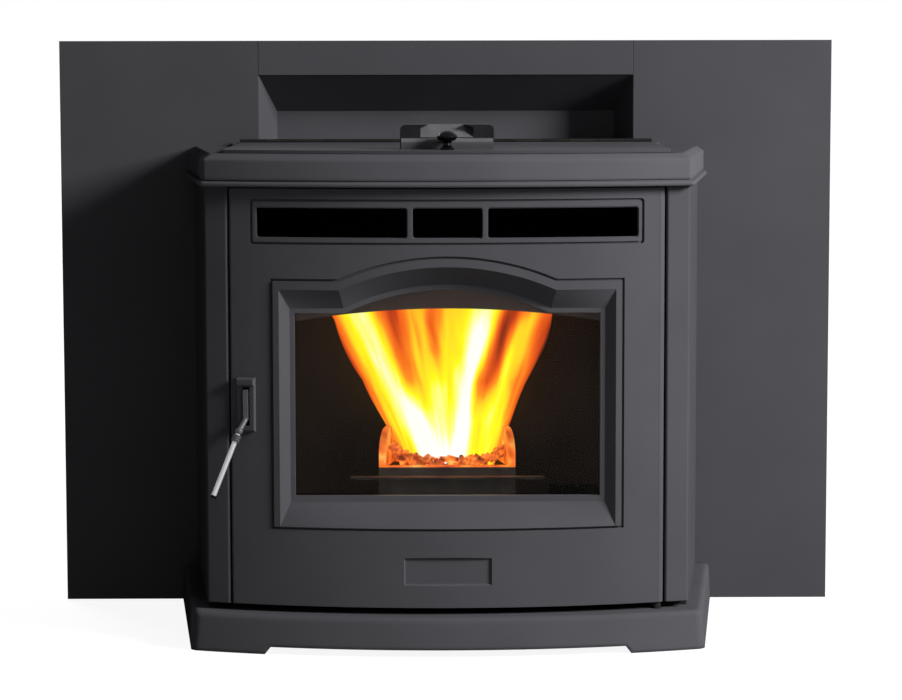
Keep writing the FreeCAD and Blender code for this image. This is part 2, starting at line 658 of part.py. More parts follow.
def make_surround_top():
    """Header between the side panels; its upright front edges are eased so that the seams show."""
    half = POCKET_WIDTH / 2 + PANEL_SEAM / 2
    low = SURROUND_HEIGHT - HEADER_HEIGHT
    sheet = box(-half, half, 0, SHEET, low, SURROUND_HEIGHT)

    def upright_front(edge):
        return edge.BoundBox.YMax < 0.1 and edge.BoundBox.XLength < 0.1
    sheet = sheet.makeChamfer(PANEL_SEAM, edges_where(sheet, upright_front))
    upper = box(-half, half, SHEET, SURROUND_RETURN, SURROUND_HEIGHT - SHEET, SURROUND_HEIGHT)
    return sheet.fuse(upper).removeSplitter()


def pocket_wire(y, half, low, high):
    return Part.makePolygon([V(-half, y, low), V(half, y, low), V(half, y, high), V(-half, y, high),
                             V(-half, y, low)])


def make_pocket():
    """Recess behind the surround: sloping soffit, two side walls and a back."""
    low = TOP_Z + 2
    soffit = SURROUND_HEIGHT - HEADER_HEIGHT
    half = POCKET_WIDTH / 2 - PANEL_SEAM / 2
    back_half = half - POCKET_TAPER
    outer = Part.makeLoft([pocket_wire(SHEET, half + SHEET, low, soffit + SHEET),
                           pocket_wire(POCKET_DEPTH + SHEET, back_half + SHEET, low,
                                       soffit - SOFFIT_DROP + SHEET)], True, True)
    ahead = POCKET_DEPTH / (POCKET_DEPTH - SHEET)
    front_half = back_half + (half - back_half) * ahead
    front_top = soffit - SOFFIT_DROP + SOFFIT_DROP * ahead
    inner = Part.makeLoft([pocket_wire(0, front_half, low - 1, front_top),
                           pocket_wire(POCKET_DEPTH, back_half, low - 1, soffit - SOFFIT_DROP)], True, True)
    return outer.cut(inner)


def make_rear_casing():
    """Sides and back of the part that stands inside the fireplace, with flanges behind the surround."""
    low, high = BASE_HEIGHT + SHEET, TOP_Z
    wrap = box(-CASING_HALF, CASING_HALF, SHEET, CASING_DEPTH, low, high)
    inner_half = CASING_HALF - SHEET
    wrap = wrap.cut(box(-inner_half, inner_half, 0, CASING_DEPTH - SHEET, low - 1, high + 1))
    flanges = [box(s * CASING_HALF if s > 0 else -PANEL_INNER_HALF - 14,
                   PANEL_INNER_HALF + 14 if s > 0 else -CASING_HALF,
                   SHEET, 2 * SHEET, low, high) for s in (-1, 1)]
    body = fuse_all([wrap] + flanges)
    for row in range(6):
        z = 90 + 16 * row
        body = body.cut(box(-CASING_HALF - 1, -CASING_HALF + SHEET + 1, FAN_Y - 55, FAN_Y + 55, z, z + 3.6))
    body = body.cut(Part.makeCylinder(INTAKE_R + MOVING_GAP, 20, V(60, CASING_DEPTH - 10, 140), Y_AXIS))
    return body.cut(box(-214, -186, CASING_DEPTH - 10, CASING_DEPTH + 10, 84, 104))


def flue_centre():
    return BLOWER_X + 50.0, 229.0


def make_rear_top():
    x, y = flue_centre()
    plate = box(-CASING_HALF, CASING_HALF, 2 * SHEET, CASING_DEPTH, TOP_Z, TOP_Z + SHEET)
    return plate.cut(Part.makeCylinder(FLUE_R + 0.2, 10, V(x, y, TOP_Z - 4)))


def make_power_inlet():
    face = box(-220, -180, CASING_DEPTH, CASING_DEPTH + 4, 78, 110)
    body = box(-213.8, -186.2, CASING_DEPTH - 22, CASING_DEPTH, 84.2, 103.8)
    socket = box(-212, -188, CASING_DEPTH - 14, CASING_DEPTH + 5, 86, 102)
    pins = [box(x - 1, x + 1, CASING_DEPTH - 15, CASING_DEPTH, 92, 96) for x in (-207, -200, -193)]
    return fuse_all([face.fuse(body).cut(socket)] + pins)


def make_chassis():
    half = COLUMN_BACK_HALF - SHEET
    low = BASE_HEIGHT
    front = box(-half, half, FRAME_Y + FRAME_THICK, 0, low, low + SHEET)
    rear = box(-CASING_HALF, CASING_HALF, 0, CASING_DEPTH, low, low + SHEET)
    flange_low = 14.0
    side = box(CASING_HALF - SHEET, CASING_HALF, 6, CASING_DEPTH, flange_low, low)
    back = box(-CASING_HALF, CASING_HALF, CASING_DEPTH - SHEET, CASING_DEPTH, flange_low, low)
    body = fuse_all([front, rear, side, mirrored(side), back])
    for x, y in levelling_spots():
        body = body.cut(Part.makeCylinder(5.1, 20, V(x, y, low - 5)))
    return body


def levelling_spots():
    inset = 34.0
    return [(s * (CASING_HALF - inset), CASING_DEPTH - inset) for s in (-1, 1)]


def hexagon(radius, x, y, z0, z1):
    points = [(x + radius * math.cos(math.radians(60 * n)), y + radius * math.sin(math.radians(60 * n)))
              for n in range(6)]
    return prism_z(points, z0, z1)


def make_levelling_bolts():
    bolts = []
    for x, y in levelling_spots():
        foot = Part.makeCylinder(17, 6, V(x, y, 0))
        shank = Part.makeCylinder(5, BASE_HEIGHT + 12, V(x, y, 4))
        lower = hexagon(9, x, y, BASE_HEIGHT - 8, BASE_HEIGHT)
        upper = hexagon(9, x, y, BASE_HEIGHT + SHEET, BASE_HEIGHT + SHEET + 8)
        bolts.append(fuse_all([foot, shank, lower, upper]))
    return Part.makeCompound(bolts)


def make_firebox():
    wall = FIREBOX_WALL
    front = FRAME_Y + FRAME_THICK
    floor = FIRE_BOTTOM - 2
    ceiling = FIRE_TOP + 6
    outer_half = FIRE_HALF + wall
    outer = box(-outer_half, outer_half, front, FIREBOX_BACK + wall, floor - wall, ceiling + wall)
    body = outer.cut(box(-FIRE_HALF, FIRE_HALF, front - 1, FIREBOX_BACK, floor, ceiling))
    legs = [box(s - 10, s + 10, y, y + 20, BASE_HEIGHT + SHEET, floor - wall)
            for s in (-180, 180) for y in (front + 10, FIREBOX_BACK - 40)]
    body = fuse_all([body] + legs)
    feed = Part.makeCylinder(FEED_BORE_R - 0.5, 20, V(0, FIREBOX_BACK - 5, FEED_Z), Y_AXIS)
    exhaust = box(BLOWER_X - 33, BLOWER_X + 31, FIREBOX_BACK - 5, FIREBOX_BACK + wall + 5, 109, 171)
    air = box(42, 78, FIREBOX_BACK - 5, FIREBOX_BACK + wall + 5, 152, 164)
    igniter = Part.makeCylinder(5.2, 20, V(-40, FIREBOX_BACK - 5, 160), Y_AXIS)
    return body.cut(feed).cut(exhaust).cut(air).cut(igniter)


def make_baffle():
    """Plate across the top of the fire with an arched lower edge."""
    y0 = FRAME_Y + FRAME_THICK + 11
    half = FIRE_HALF
    ceiling = FIRE_TOP + 6
    low, apex = FIRE_TOP - 58, FIRE_TOP - 40
    edge = Part.Arc(V(-half, y0, low), V(0, y0, apex), V(half, y0, low)).toShape()
    rest = Part.makePolygon([V(half, y0, low), V(half, y0, ceiling), V(-half, y0, ceiling),
                             V(-half, y0, low)])
    return Part.Face(Part.Wire([edge] + rest.Edges)).extrude(V(0, 3, 0))


def make_fins():
    z = FIRE_TOP + 6 + FIREBOX_WALL
    y0, y1 = FRAME_Y + 15, FIREBOX_BACK - 10
    pieces = [box(-190, 190, y0, y1, z, z + 4)]
    for n in range(11):
        x = -180 + 36 * n
        pieces.append(box(x - 2, x + 2, y0, y1, z + 4, z + 30))
    return fuse_all(pieces)


POT_HALF = 88.5
POT_BACK_HALF = 68.0
POT_DEPTH = 110.0
POT_WALL = 8.0
POT_FLOOR = 146.0
POT_LIP = 212.0


def pot_plan(inset, past):
    """Upright block on the plan of the pot, which narrows to the rear; past lengthens it at both ends."""
    slope = (POT_HALF - POT_BACK_HALF) / POT_DEPTH
    front, rear = FIREBOX_BACK - POT_DEPTH - past, FIREBOX_BACK + past
    wide, narrow = POT_HALF + slope * past - inset, POT_BACK_HALF - slope * past - inset
    return prism_z([(-wide, front), (wide, front), (narrow, rear), (-narrow, rear)], POT_FLOOR - 1, 270)


def make_burn_pot():
    """Cast trough with a sloping perforated floor, an air chamber below, splayed walls and an apron."""
    back, front, wall = FIREBOX_BACK, FIREBOX_BACK - POT_DEPTH, POT_WALL
    ear = Part.Wire([
        Part.LineSegment(V(-POT_HALF, back, POT_FLOOR), V(-POT_HALF, front, POT_FLOOR)).toShape(),
        Part.LineSegment(V(-POT_HALF, front, POT_FLOOR), V(-POT_HALF, front, POT_LIP)).toShape(),
        Part.Arc(V(-POT_HALF, front, POT_LIP), V(-POT_HALF, front + 8, 246),
                 V(-POT_HALF, front + 34, 258)).toShape(),
        Part.LineSegment(V(-POT_HALF, front + 34, 258), V(-POT_HALF, back, 262)).toShape(),
        Part.LineSegment(V(-POT_HALF, back, 262), V(-POT_HALF, back, POT_FLOOR)).toShape()])
    sides = Part.Face(ear).extrude(V(2 * POT_HALF, 0, 0)).common(pot_plan(0, 0).cut(pot_plan(wall, 5)))
    floor = prism_x([(back, POT_FLOOR), (back, 176), (front + 8, 203), (front + 8, POT_LIP),
                     (front, POT_LIP), (front, POT_FLOOR)], -POT_HALF, POT_HALF)
    plate = box(-POT_HALF, POT_HALF, back - 7, back, POT_FLOOR, 262)
    apron = box(-125, 125, front - 14, front, 196, 199)
    body = fuse_all([floor.fuse(plate).common(pot_plan(0, 0)), sides, apron])
    chamber = box(-POT_HALF, POT_HALF, back - 100, back + 1, 150, 166).common(pot_plan(wall, 5))
    feed = Part.makeCylinder(FEED_BORE_R - 1.5, 40, V(0, back - 30, FEED_Z), Y_AXIS)
    body = body.cut(chamber).cut(feed)
    for row in range(3):
        for column in range(5):
            spot = V(-56 + 28 * column, back - 40 - 22 * row, 160)
            body = body.cut(Part.makeCylinder(3.0, 60, spot))
    return body


def make_igniter():
    z = 160
    cartridge = Part.makeCylinder(5.0, 70, V(-40, FIREBOX_BACK - 60, z), Y_AXIS)
    seat = FIREBOX_BACK + FIREBOX_WALL
    collar = Part.makeCylinder(8.0, 14, V(-40, seat, z), Y_AXIS)
    return cartridge.fuse(collar).removeSplitter()


def make_ash_pan():
    floor = FIRE_BOTTOM - 2
    y0, y1 = FRAME_Y + FRAME_THICK + 9, FIREBOX_BACK - 8
    high = 138.0
    pan = box(-186, 186, y0, y1, floor, high)
    pan = pan.cut(box(-186 + SHEET, 186 - SHEET, y0 + SHEET, y1 - SHEET, floor + SHEET, high + 1))
    z = (FIRE_BOTTOM + high) / 2 + 6
    posts = [rod(2.4, V(x, y0 + 1, z), V(x, y0 - 6, z)) for x in (-42, 42)]
    bar = rod(3.0, V(-52, y0 - 6, z), V(52, y0 - 6, z))
    return fuse_all([pan, bar] + posts)


def hopper_profile(grow):
    """Side outline of the hopper in (y, z): loading ramp in front, bin behind."""
    front, rear = HOPPER_FRONT - grow, HOPPER_REAR + grow
    mouth_rear = -30.0 + grow
    bin_front = -44.0 - grow
    roof = 604.0 + grow
    return [(front, DECK_BOTTOM), (front, 598.0 - grow), (bin_front, 512.0 - grow), (bin_front, 400.0),
            (rear, 400.0), (rear, roof), (mouth_rear, roof), (mouth_rear, DECK_BOTTOM)]


def hopper_funnel(grow):
    def ring(x0, x1, y0, y1, z):
        return Part.makePolygon([V(x0, y0, z), V(x1, y0, z), V(x1, y1, z), V(x0, y1, z), V(x0, y0, z)])
    upper = ring(HOPPER_LEFT - grow, HOPPER_RIGHT + grow, -44 - grow, HOPPER_REAR + grow, 400)
    lower = ring(-28 - grow, 28 + grow, 82 - grow, 138 + grow, 250)
    return Part.makeLoft([upper, lower], True, True)


def make_hopper():
    wall = SHEET
    outer = prism_x(hopper_profile(wall), HOPPER_LEFT - wall, HOPPER_RIGHT + wall).fuse(hopper_funnel(wall))
    inner = prism_x(hopper_profile(0), HOPPER_LEFT, HOPPER_RIGHT).fuse(hopper_funnel(0))
    return outer.removeSplitter().cut(inner.removeSplitter())


def make_deck():
    """Sheet under the lid with the hopper mouth, the control well and the slot for the knob's cam."""
    plate = bow_slab(LID_HALF + 5, LID_CORNER_Y - 9, LID_SAG + 2, BODY_BACK_HALF - DECK_INSET, -7,
                     DECK_BOTTOM, DECK_TOP)
    mouth = box(HOPPER_LEFT, HOPPER_RIGHT, HOPPER_FRONT, -30, DECK_BOTTOM - 1, DECK_TOP + 1)
    well = box(TRAY_LEFT + SHEET, TRAY_RIGHT - SHEET, TRAY_FRONT + SHEET, TRAY_REAR - SHEET,
               DECK_BOTTOM - 1, DECK_TOP + 1)
    slot = box(-18, 18, KNOB_Y - 8, KNOB_Y + 8, DECK_BOTTOM - 1, DECK_TOP + 1)
    return plate.cut(mouth).cut(well).cut(slot)


TRAY_LEFT = -268.0
TRAY_RIGHT = HOPPER_LEFT - SHEET
TRAY_FRONT = -288.0
TRAY_REAR = -30.0
TRAY_FLOOR = 596.0
DIAL_X = (TRAY_LEFT + TRAY_RIGHT) / 2
DIAL_SPOTS = (-215.0, -120.0)


def make_tray():
    pan = box(TRAY_LEFT, TRAY_RIGHT, TRAY_FRONT, TRAY_REAR, TRAY_FLOOR, DECK_BOTTOM)
    pan = pan.cut(box(TRAY_LEFT + SHEET, TRAY_RIGHT - SHEET, TRAY_FRONT + SHEET, TRAY_REAR - SHEET,
                      TRAY_FLOOR + SHEET, DECK_BOTTOM + 1))
    for y in DIAL_SPOTS:
        pan = pan.cut(Part.makeCylinder(3.0 + RUNNING_FIT, 10, V(DIAL_X, y, TRAY_FLOOR - 4)))
    return pan


def make_dial(y):
    """Control dial with a grip ridge and its spindle."""
    base = TRAY_FLOOR + SHEET + MOVING_GAP
    skirt = Part.makeCylinder(18, 4, V(DIAL_X, y, base))
    skirt = skirt.makeChamfer(1.2, edges_where(skirt, lambda e: e.BoundBox.ZMin > base + 3.9))
    ridge = box(DIAL_X - 4, DIAL_X + 4, y - 15, y + 15, base + 2, base + 14)
    ridge = ridge.makeChamfer(1.2, edges_where(ridge, lambda e: e.BoundBox.ZMin > base + 13.9))
    spindle = Part.makeCylinder(3.0, 16, V(DIAL_X, y, base - 14))
    return fuse_all([skirt, ridge, spindle])


def make_deck_gasket():
    inset, width = 2.0, 8.0
    high = TOP_Z - LID_THICK - MOVING_GAP

    def slab(by, z0, z1):
        return bow_slab(LID_HALF - by, LID_CORNER_Y + by, LID_SAG, LID_HALF - by, -20 - by, z0, z1)
    return slab(inset, DECK_TOP, high).cut(slab(inset + width, DECK_TOP - 1, high + 1))


LID_HINGE_Z = TOP_Z + LID_HINGE_R


def lid_knuckles(moving):
    """Segments of the piano hinge, alternately on the lid and on the cast top."""
    count = 15
    length = 2 * (LID_HALF - 2) / count
    segments = []
    for n in range(count):
        if (n % 2 == 1) == moving:
            start = -LID_HALF + 2 + n * length + 0.3
            segments.append(Part.makeCylinder(LID_HINGE_R, length - 0.6, V(start, LID_HINGE_Y, LID_HINGE_Z),
                                              X_AXIS))
    return segments


def make_lid():
    plate = bow_slab(LID_HALF, LID_CORNER_Y, LID_SAG, LID_HALF, LID_HINGE_Y - 3, TOP_Z - LID_THICK, TOP_Z)
    strap = box(-LID_HALF + 2, LID_HALF - 2, -34, LID_HINGE_Y - 3.2, TOP_Z, TOP_Z + 1.2)
    pieces = [plate, strap]
    for knuckle in lid_knuckles(True):
        limits = knuckle.BoundBox
        tab = box(limits.XMin, limits.XMax, LID_HINGE_Y - 4, LID_HINGE_Y - 0.5, TOP_Z, TOP_Z + 1.2)
        pieces += [knuckle, tab]
    body = fuse_all(pieces)
    pin = Part.makeCylinder(LID_PIN_R + RUNNING_FIT, 2 * LID_HALF + 10,
                            V(-LID_HALF - 5, LID_HINGE_Y, LID_HINGE_Z), X_AXIS)
    stem = Part.makeCylinder(KNOB_STEM_R + RUNNING_FIT, 20, V(0, KNOB_Y, TOP_Z - 10))
    return body.cut(pin).cut(stem)


def make_lid_hinge():
    """Fixed leaf of the lid hinge with its pin."""
    strap = box(-LID_HALF + 2, LID_HALF - 2, LID_HINGE_Y + 3.2, -1, TOP_Z, TOP_Z + 1.2)
    pieces = [strap]
    for knuckle in lid_knuckles(False):
        limits = knuckle.BoundBox
        tab = box(limits.XMin, limits.XMax, LID_HINGE_Y + 0.5, LID_HINGE_Y + 4, TOP_Z, TOP_Z + 1.2)
        pieces += [knuckle, tab]
    pin = Part.makeCylinder(LID_PIN_R, 2 * LID_HALF - 4, V(-LID_HALF + 2, LID_HINGE_Y, LID_HINGE_Z), X_AXIS)
    return fuse_all(pieces + [pin])


def make_pull():
    """Two-tier pull behind the knob: a rounded step, then a wall with a sloping scoop for the fingers."""
    half, front = 57.0, KNOB_Y + 12
    wall_front = front + 10
    step_top, wall_top = TOP_Z + 14, TOP_Z + PULL_HEIGHT
    step = box(-half, half, front, front + 26, TOP_Z, step_top)

    def step_edge(edge):
        limits = edge.BoundBox
        return limits.XLength > 50 and limits.YMax < front + 1 and limits.ZMin > TOP_Z + 10
    step = step.makeFillet(8.0, edges_where(step, step_edge))
    wall = box(-half - 1.5, half + 1.5, wall_front, front + 30, TOP_Z, wall_top)
    wall = wall.makeFillet(7.0, edges_where(wall, lambda e: e.BoundBox.YLength > 10
                                            and e.BoundBox.ZMin > wall_top - 1))
    scoop_half, spring, apex = 33.0, wall_top - 4, wall_top + 3
    y0 = wall_front - 1
    arch = Part.Arc(V(-scoop_half, y0, spring), V(0, y0, apex), V(scoop_half, y0, spring)).toShape()
    rest = Part.makePolygon([V(scoop_half, y0, spring), V(scoop_half, y0, step_top),
                             V(-scoop_half, y0, step_top), V(-scoop_half, y0, spring)])
    scoop = Part.Face(Part.Wire([arch] + rest.Edges)).extrude(V(0, 17, 0))
    slope_rear = wall_front + 15
    slope = prism_x([(y0, step_top), (slope_rear, wall_top), (slope_rear, apex), (y0, apex)], -half, half)
    return fuse_all([step, wall.cut(scoop.common(slope))])


def make_knob():
    """Mushroom knob turned about its upright axis, with the stem that passes the lid."""
    foot = TOP_Z + MOVING_GAP
    low = TOP_Z - LID_THICK
    axis_low, axis_high = V(0, 0, low), V(0, 0, foot + KNOB_RISE)
    shank = [axis_low, V(KNOB_STEM_R, 0, low), V(KNOB_STEM_R, 0, foot), V(8.5, 0, foot),
             V(8.5, 0, foot + 2.0), V(4.8, 0, foot + 5.5), V(4.4, 0, foot + 8.0), V(7.5, 0, foot + 11.0)]
    rim_r, crown_rise = 12.6, 7.6
    rim = V(rim_r, 0, foot + KNOB_RISE - crown_rise)
    ball = (rim_r ** 2 + crown_rise ** 2) / (2 * crown_rise)
    half_angle = math.asin(rim_r / ball) / 2
    crown_middle = V(ball * math.sin(half_angle), 0, foot + KNOB_RISE - ball + ball * math.cos(half_angle))
    edges = Part.makePolygon(shank).Edges
    edges.append(Part.Arc(shank[-1], V(11.5, 0, foot + 13.0), rim).toShape())
    edges.append(Part.Arc(rim, crown_middle, axis_high).toShape())
    edges.append(Part.LineSegment(axis_high, axis_low).toShape())
    body = Part.Face(Part.Wire(edges)).revolve(V(0, 0, 0), Z_AXIS, 360)
    body.translate(V(0, KNOB_Y, 0))
    return body


CAM_TOP = DECK_BOTTOM - 0.8
CAM_THICK = 4.0


def make_cam():
    """Locking bar under the deck, on a shank that meets the stem of the knob."""
    bar = box(-14, 14, KNOB_Y - 5, KNOB_Y + 5, CAM_TOP - CAM_THICK, CAM_TOP)
    bar = bar.makeFillet(3.0, edges_where(bar, lambda e: e.BoundBox.ZLength > 3))
    low = CAM_TOP - CAM_THICK
    shank = Part.makeCylinder(KNOB_STEM_R, TOP_Z - LID_THICK - low, V(0, KNOB_Y, low))
    return bar.fuse(shank).removeSplitter()


def make_feed_tube():
    seat = FIREBOX_BACK + FIREBOX_WALL
    rear = 222.0
    tube = Part.makeCylinder(FEED_TUBE_R, rear - seat, V(0, seat, FEED_Z), Y_AXIS)
    flange = Part.makeCylinder(FEED_TUBE_R + 10, 5, V(0, seat, FEED_Z), Y_AXIS)
    throat = box(-32, 32, 78, 142, FEED_Z, 250)
    body = fuse_all([tube, flange, throat])
    body = body.cut(Part.makeCylinder(FEED_BORE_R, rear - seat - 4, V(0, seat - 1, FEED_Z), Y_AXIS))
    body = body.cut(box(-26, 26, 84, 136, FEED_Z, 251))
    return body.cut(Part.makeCylinder(AUGER_SHAFT_R + RUNNING_FIT, 20, V(0, rear - 10, FEED_Z), Y_AXIS))


def make_auger():
    """Shaft with a helical flight."""
    y0, y1 = FIREBOX_BACK + FIREBOX_WALL + 2, 210.0
    shaft = Part.makeCylinder(AUGER_SHAFT_R, 245 - y0, V(0, 0, 0))
    length = y1 - y0 - 4
    helix = Part.makeHelix(AUGER_PITCH, length, AUGER_R)
    thick = 3.0
    inner = AUGER_SHAFT_R - 1.5
    profile = Part.makePolygon([V(inner, 0, -thick / 2), V(AUGER_R, 0, -thick / 2),
                                V(AUGER_R, 0, thick / 2), V(inner, 0, thick / 2), V(inner, 0, -thick / 2)])
    flight = Part.Wire(helix.Edges).makePipeShell([Part.Wire(profile.Edges)], True, True)
    flight.translate(V(0, 0, 3))
    body = shaft.fuse(flight).removeSplitter()
    body.Placement = FreeCAD.Placement(V(0, y0, FEED_Z), FreeCAD.Rotation(X_AXIS, -90))
    return body


def make_gear_motor():
    case = box(-38, 38, 226, 254, FEED_Z - 38, FEED_Z + 38)
    case = case.makeFillet(5.0, edges_where(case, lambda e: e.BoundBox.YLength > 20))
    seat = box(-20, 20, 222, 226, FEED_Z - 26, FEED_Z + 26)
    motor = Part.makeCylinder(27, 22, V(0, 254, FEED_Z + 6), Y_AXIS)
    leg = box(-22, 22, 230, 250, BASE_HEIGHT + SHEET, FEED_Z - 30)
    body = fuse_all([case, seat, motor, leg])
    return body.cut(Part.makeCylinder(AUGER_SHAFT_R + RUNNING_FIT, 26, V(0, 221, FEED_Z), Y_AXIS))


def make_exhaust_duct():
    y0, y1 = FIREBOX_BACK + FIREBOX_WALL, 206.0
    outer = box(BLOWER_X - 35, BLOWER_X + 33, y0, y1, 107, 173)
    return outer.cut(box(BLOWER_X - 33, BLOWER_X + 31, y0 - 1, y1 + 1, 109, 171))


def make_combustion_housing():
    """Round fan housing with an upward outlet and a foot."""
    y0, y1, radius, wall = 206.0, 252.0, 70.0, 2.0
    drum = Part.makeCylinder(radius, y1 - y0, V(BLOWER_X, y0, BLOWER_Z), Y_AXIS)
    spout = box(BLOWER_X + 30, BLOWER_X + radius, y0, y1, BLOWER_Z, 226)
    foot = box(BLOWER_X - 30, BLOWER_X + 30, y0, y1, BASE_HEIGHT + SHEET, BLOWER_Z - radius + 8)
    hollow = Part.makeCylinder(radius - wall, y1 - y0 - 2 * wall, V(BLOWER_X, y0 + wall, BLOWER_Z), Y_AXIS)
    passage = box(BLOWER_X + 30 + wall, BLOWER_X + radius - wall, y0 + wall, y1 - wall, BLOWER_Z, 227)
    inlet = Part.makeCylinder(29, 10, V(BLOWER_X - 1, y0 - 5, BLOWER_Z), Y_AXIS)
    shaft = Part.makeCylinder(6, 10, V(BLOWER_X, y1 - 5, BLOWER_Z), Y_AXIS)
    return fuse_all([drum, spout, foot]).cut(hollow.fuse(passage)).cut(inlet).cut(shaft)


def make_impeller():
    y0 = 216.0
    disc = Part.makeCylinder(58, 3, V(BLOWER_X, y0 + 25, BLOWER_Z), Y_AXIS)
    hub = Part.makeCylinder(12, 24, V(BLOWER_X, y0 + 4, BLOWER_Z), Y_AXIS)
    shaft = Part.makeCylinder(4, 38, V(BLOWER_X, y0 + 10, BLOWER_Z), Y_AXIS)
    pieces = [disc, hub, shaft]
    for n in range(8):
        blade = box(BLOWER_X + 10, BLOWER_X + 57, y0, y0 + 26, BLOWER_Z - 1.2, BLOWER_Z + 1.2)
        blade.rotate(V(BLOWER_X, 0, BLOWER_Z), Y_AXIS, 45 * n)
        pieces.append(blade)
    return fuse_all(pieces)


def make_combustion_motor():
    y0 = 252.0
    can = Part.makeCylinder(34, 25, V(BLOWER_X, y0, BLOWER_Z), Y_AXIS)
    can = can.makeChamfer(3.0, edges_where(can, lambda e: e.BoundBox.YMin > y0 + 24))
    return can.cut(Part.makeCylinder(4 + RUNNING_FIT, 14, V(BLOWER_X, y0 - 1, BLOWER_Z), Y_AXIS))


def make_flue():
    """Adapter from the fan outlet to the round flue pipe that leaves through the rear top."""
    x, y = flue_centre()
    spout = [V(BLOWER_X + 30, 206, 226), V(BLOWER_X + 70, 206, 226), V(BLOWER_X + 70, 252, 226),
             V(BLOWER_X + 30, 252, 226)]
    inset = [V(BLOWER_X + 32, 208, 226), V(BLOWER_X + 68, 208, 226), V(BLOWER_X + 68, 250, 226),
             V(BLOWER_X + 32, 250, 226)]
    round_outer = Part.Wire([Part.makeCircle(FLUE_R, V(x, y, 270))])
    round_inner = Part.Wire([Part.makeCircle(FLUE_R - 1.6, V(x, y, 270))])
    outer = Part.makeLoft([Part.makePolygon(spout + [spout[0]]), round_outer], True, True)
    inner = Part.makeLoft([Part.makePolygon(inset + [inset[0]]), round_inner], True, True)
    top = 690.0
    pipe = Part.makeCylinder(FLUE_R, top - 270, V(x, y, 270))
    seat = TOP_Z + SHEET
    pipe = pipe.fuse(Part.makeCylinder(FLUE_R + 1.9, top - seat, V(x, y, seat)))
    bore = Part.makeCylinder(FLUE_R - 1.6, top - 270, V(x, y, 270))
    return outer.cut(inner).fuse(pipe.cut(bore)).removeSplitter()


def make_intake():
    y0 = FIREBOX_BACK + FIREBOX_WALL
    pipe = Part.makeCylinder(INTAKE_R, COLLAR_REACH - y0, V(60, y0, 140), Y_AXIS)
    collar = Part.makeCylinder(INTAKE_R + 2, COLLAR_REACH - CASING_DEPTH, V(60, CASING_DEPTH, 140), Y_AXIS)
    bore = Part.makeCylinder(INTAKE_R - 2, COLLAR_REACH - y0 + 2, V(60, y0 - 1, 140), Y_AXIS)
    return pipe.fuse(collar).cut(bore)


def make_convection_housing():
    """Drum with side inlet, forward outlet and foot."""
    radius, wall = 72.0, 2.0
    drum = Part.makeCylinder(radius, FAN_X1 - FAN_X0, V(FAN_X0, FAN_Y, FAN_Z), X_AXIS)
    spout = box(FAN_X0, FAN_X1, 30, FAN_Y, FAN_Z + 10, FAN_Z + radius)
    foot = box(FAN_X0 + 8, FAN_X1 - 8, FAN_Y - 40, FAN_Y + 40, BASE_HEIGHT + SHEET, FAN_Z - radius + 14)
    inner_width = FAN_X1 - FAN_X0 - 2 * wall
    hollow = Part.makeCylinder(radius - wall, inner_width, V(FAN_X0 + wall, FAN_Y, FAN_Z), X_AXIS)
    passage = box(FAN_X0 + wall, FAN_X1 - wall, 29, FAN_Y, FAN_Z + 10 + wall, FAN_Z + radius - wall)
    inlet = Part.makeCylinder(42, 10, V(FAN_X0 - 5, FAN_Y, FAN_Z), X_AXIS)
    shaft = Part.makeCylinder(7, 10, V(FAN_X1 - 5, FAN_Y, FAN_Z), X_AXIS)
    return fuse_all([drum, spout, foot]).cut(hollow.fuse(passage)).cut(inlet).cut(shaft)


def make_convection_wheel():
    """Cage wheel: hub disc, two end rings and blades on one shaft."""
    x0, x1, radius = FAN_X0 + 10, FAN_X1 - 10, 54.0
    disc = Part.makeCylinder(radius, 3, V(x1 - 3, FAN_Y, FAN_Z), X_AXIS)
    ring = Part.makeCylinder(radius, 3, V(x0, FAN_Y, FAN_Z), X_AXIS)
    ring = ring.cut(Part.makeCylinder(radius - 12, 5, V(x0 - 1, FAN_Y, FAN_Z), X_AXIS))
    shaft = Part.makeCylinder(5, 44, V(x1 - 12, FAN_Y, FAN_Z), X_AXIS)
    pieces = [disc, ring, shaft]
    for n in range(18):
        blade = box(x0 + 1, x1 - 1, FAN_Y - 1, FAN_Y + 1, FAN_Z + radius - 12, FAN_Z + radius - 0.5)
        blade.rotate(V(0, FAN_Y, FAN_Z + radius - 6), X_AXIS, 30)
        blade.rotate(V(0, FAN_Y, FAN_Z), X_AXIS, 20 * n)
        pieces.append(blade)
    return fuse_all(pieces)


def make_convection_motor():
    can = Part.makeCylinder(40, 56, V(FAN_X1, FAN_Y, FAN_Z), X_AXIS)
    can = can.makeChamfer(4.0, edges_where(can, lambda e: e.BoundBox.XMin > FAN_X1 + 55))
    return can.cut(Part.makeCylinder(5 + RUNNING_FIT, 26, V(FAN_X1 - 1, FAN_Y, FAN_Z), X_AXIS))


os.makedirs("parts", exist_ok=True)


def export(name, shape):
    moved = shape.copy()
    moved.translate(V(0, FRAME_SHIFT, 0))
    moved.exportStep("parts/" + name + ".step")


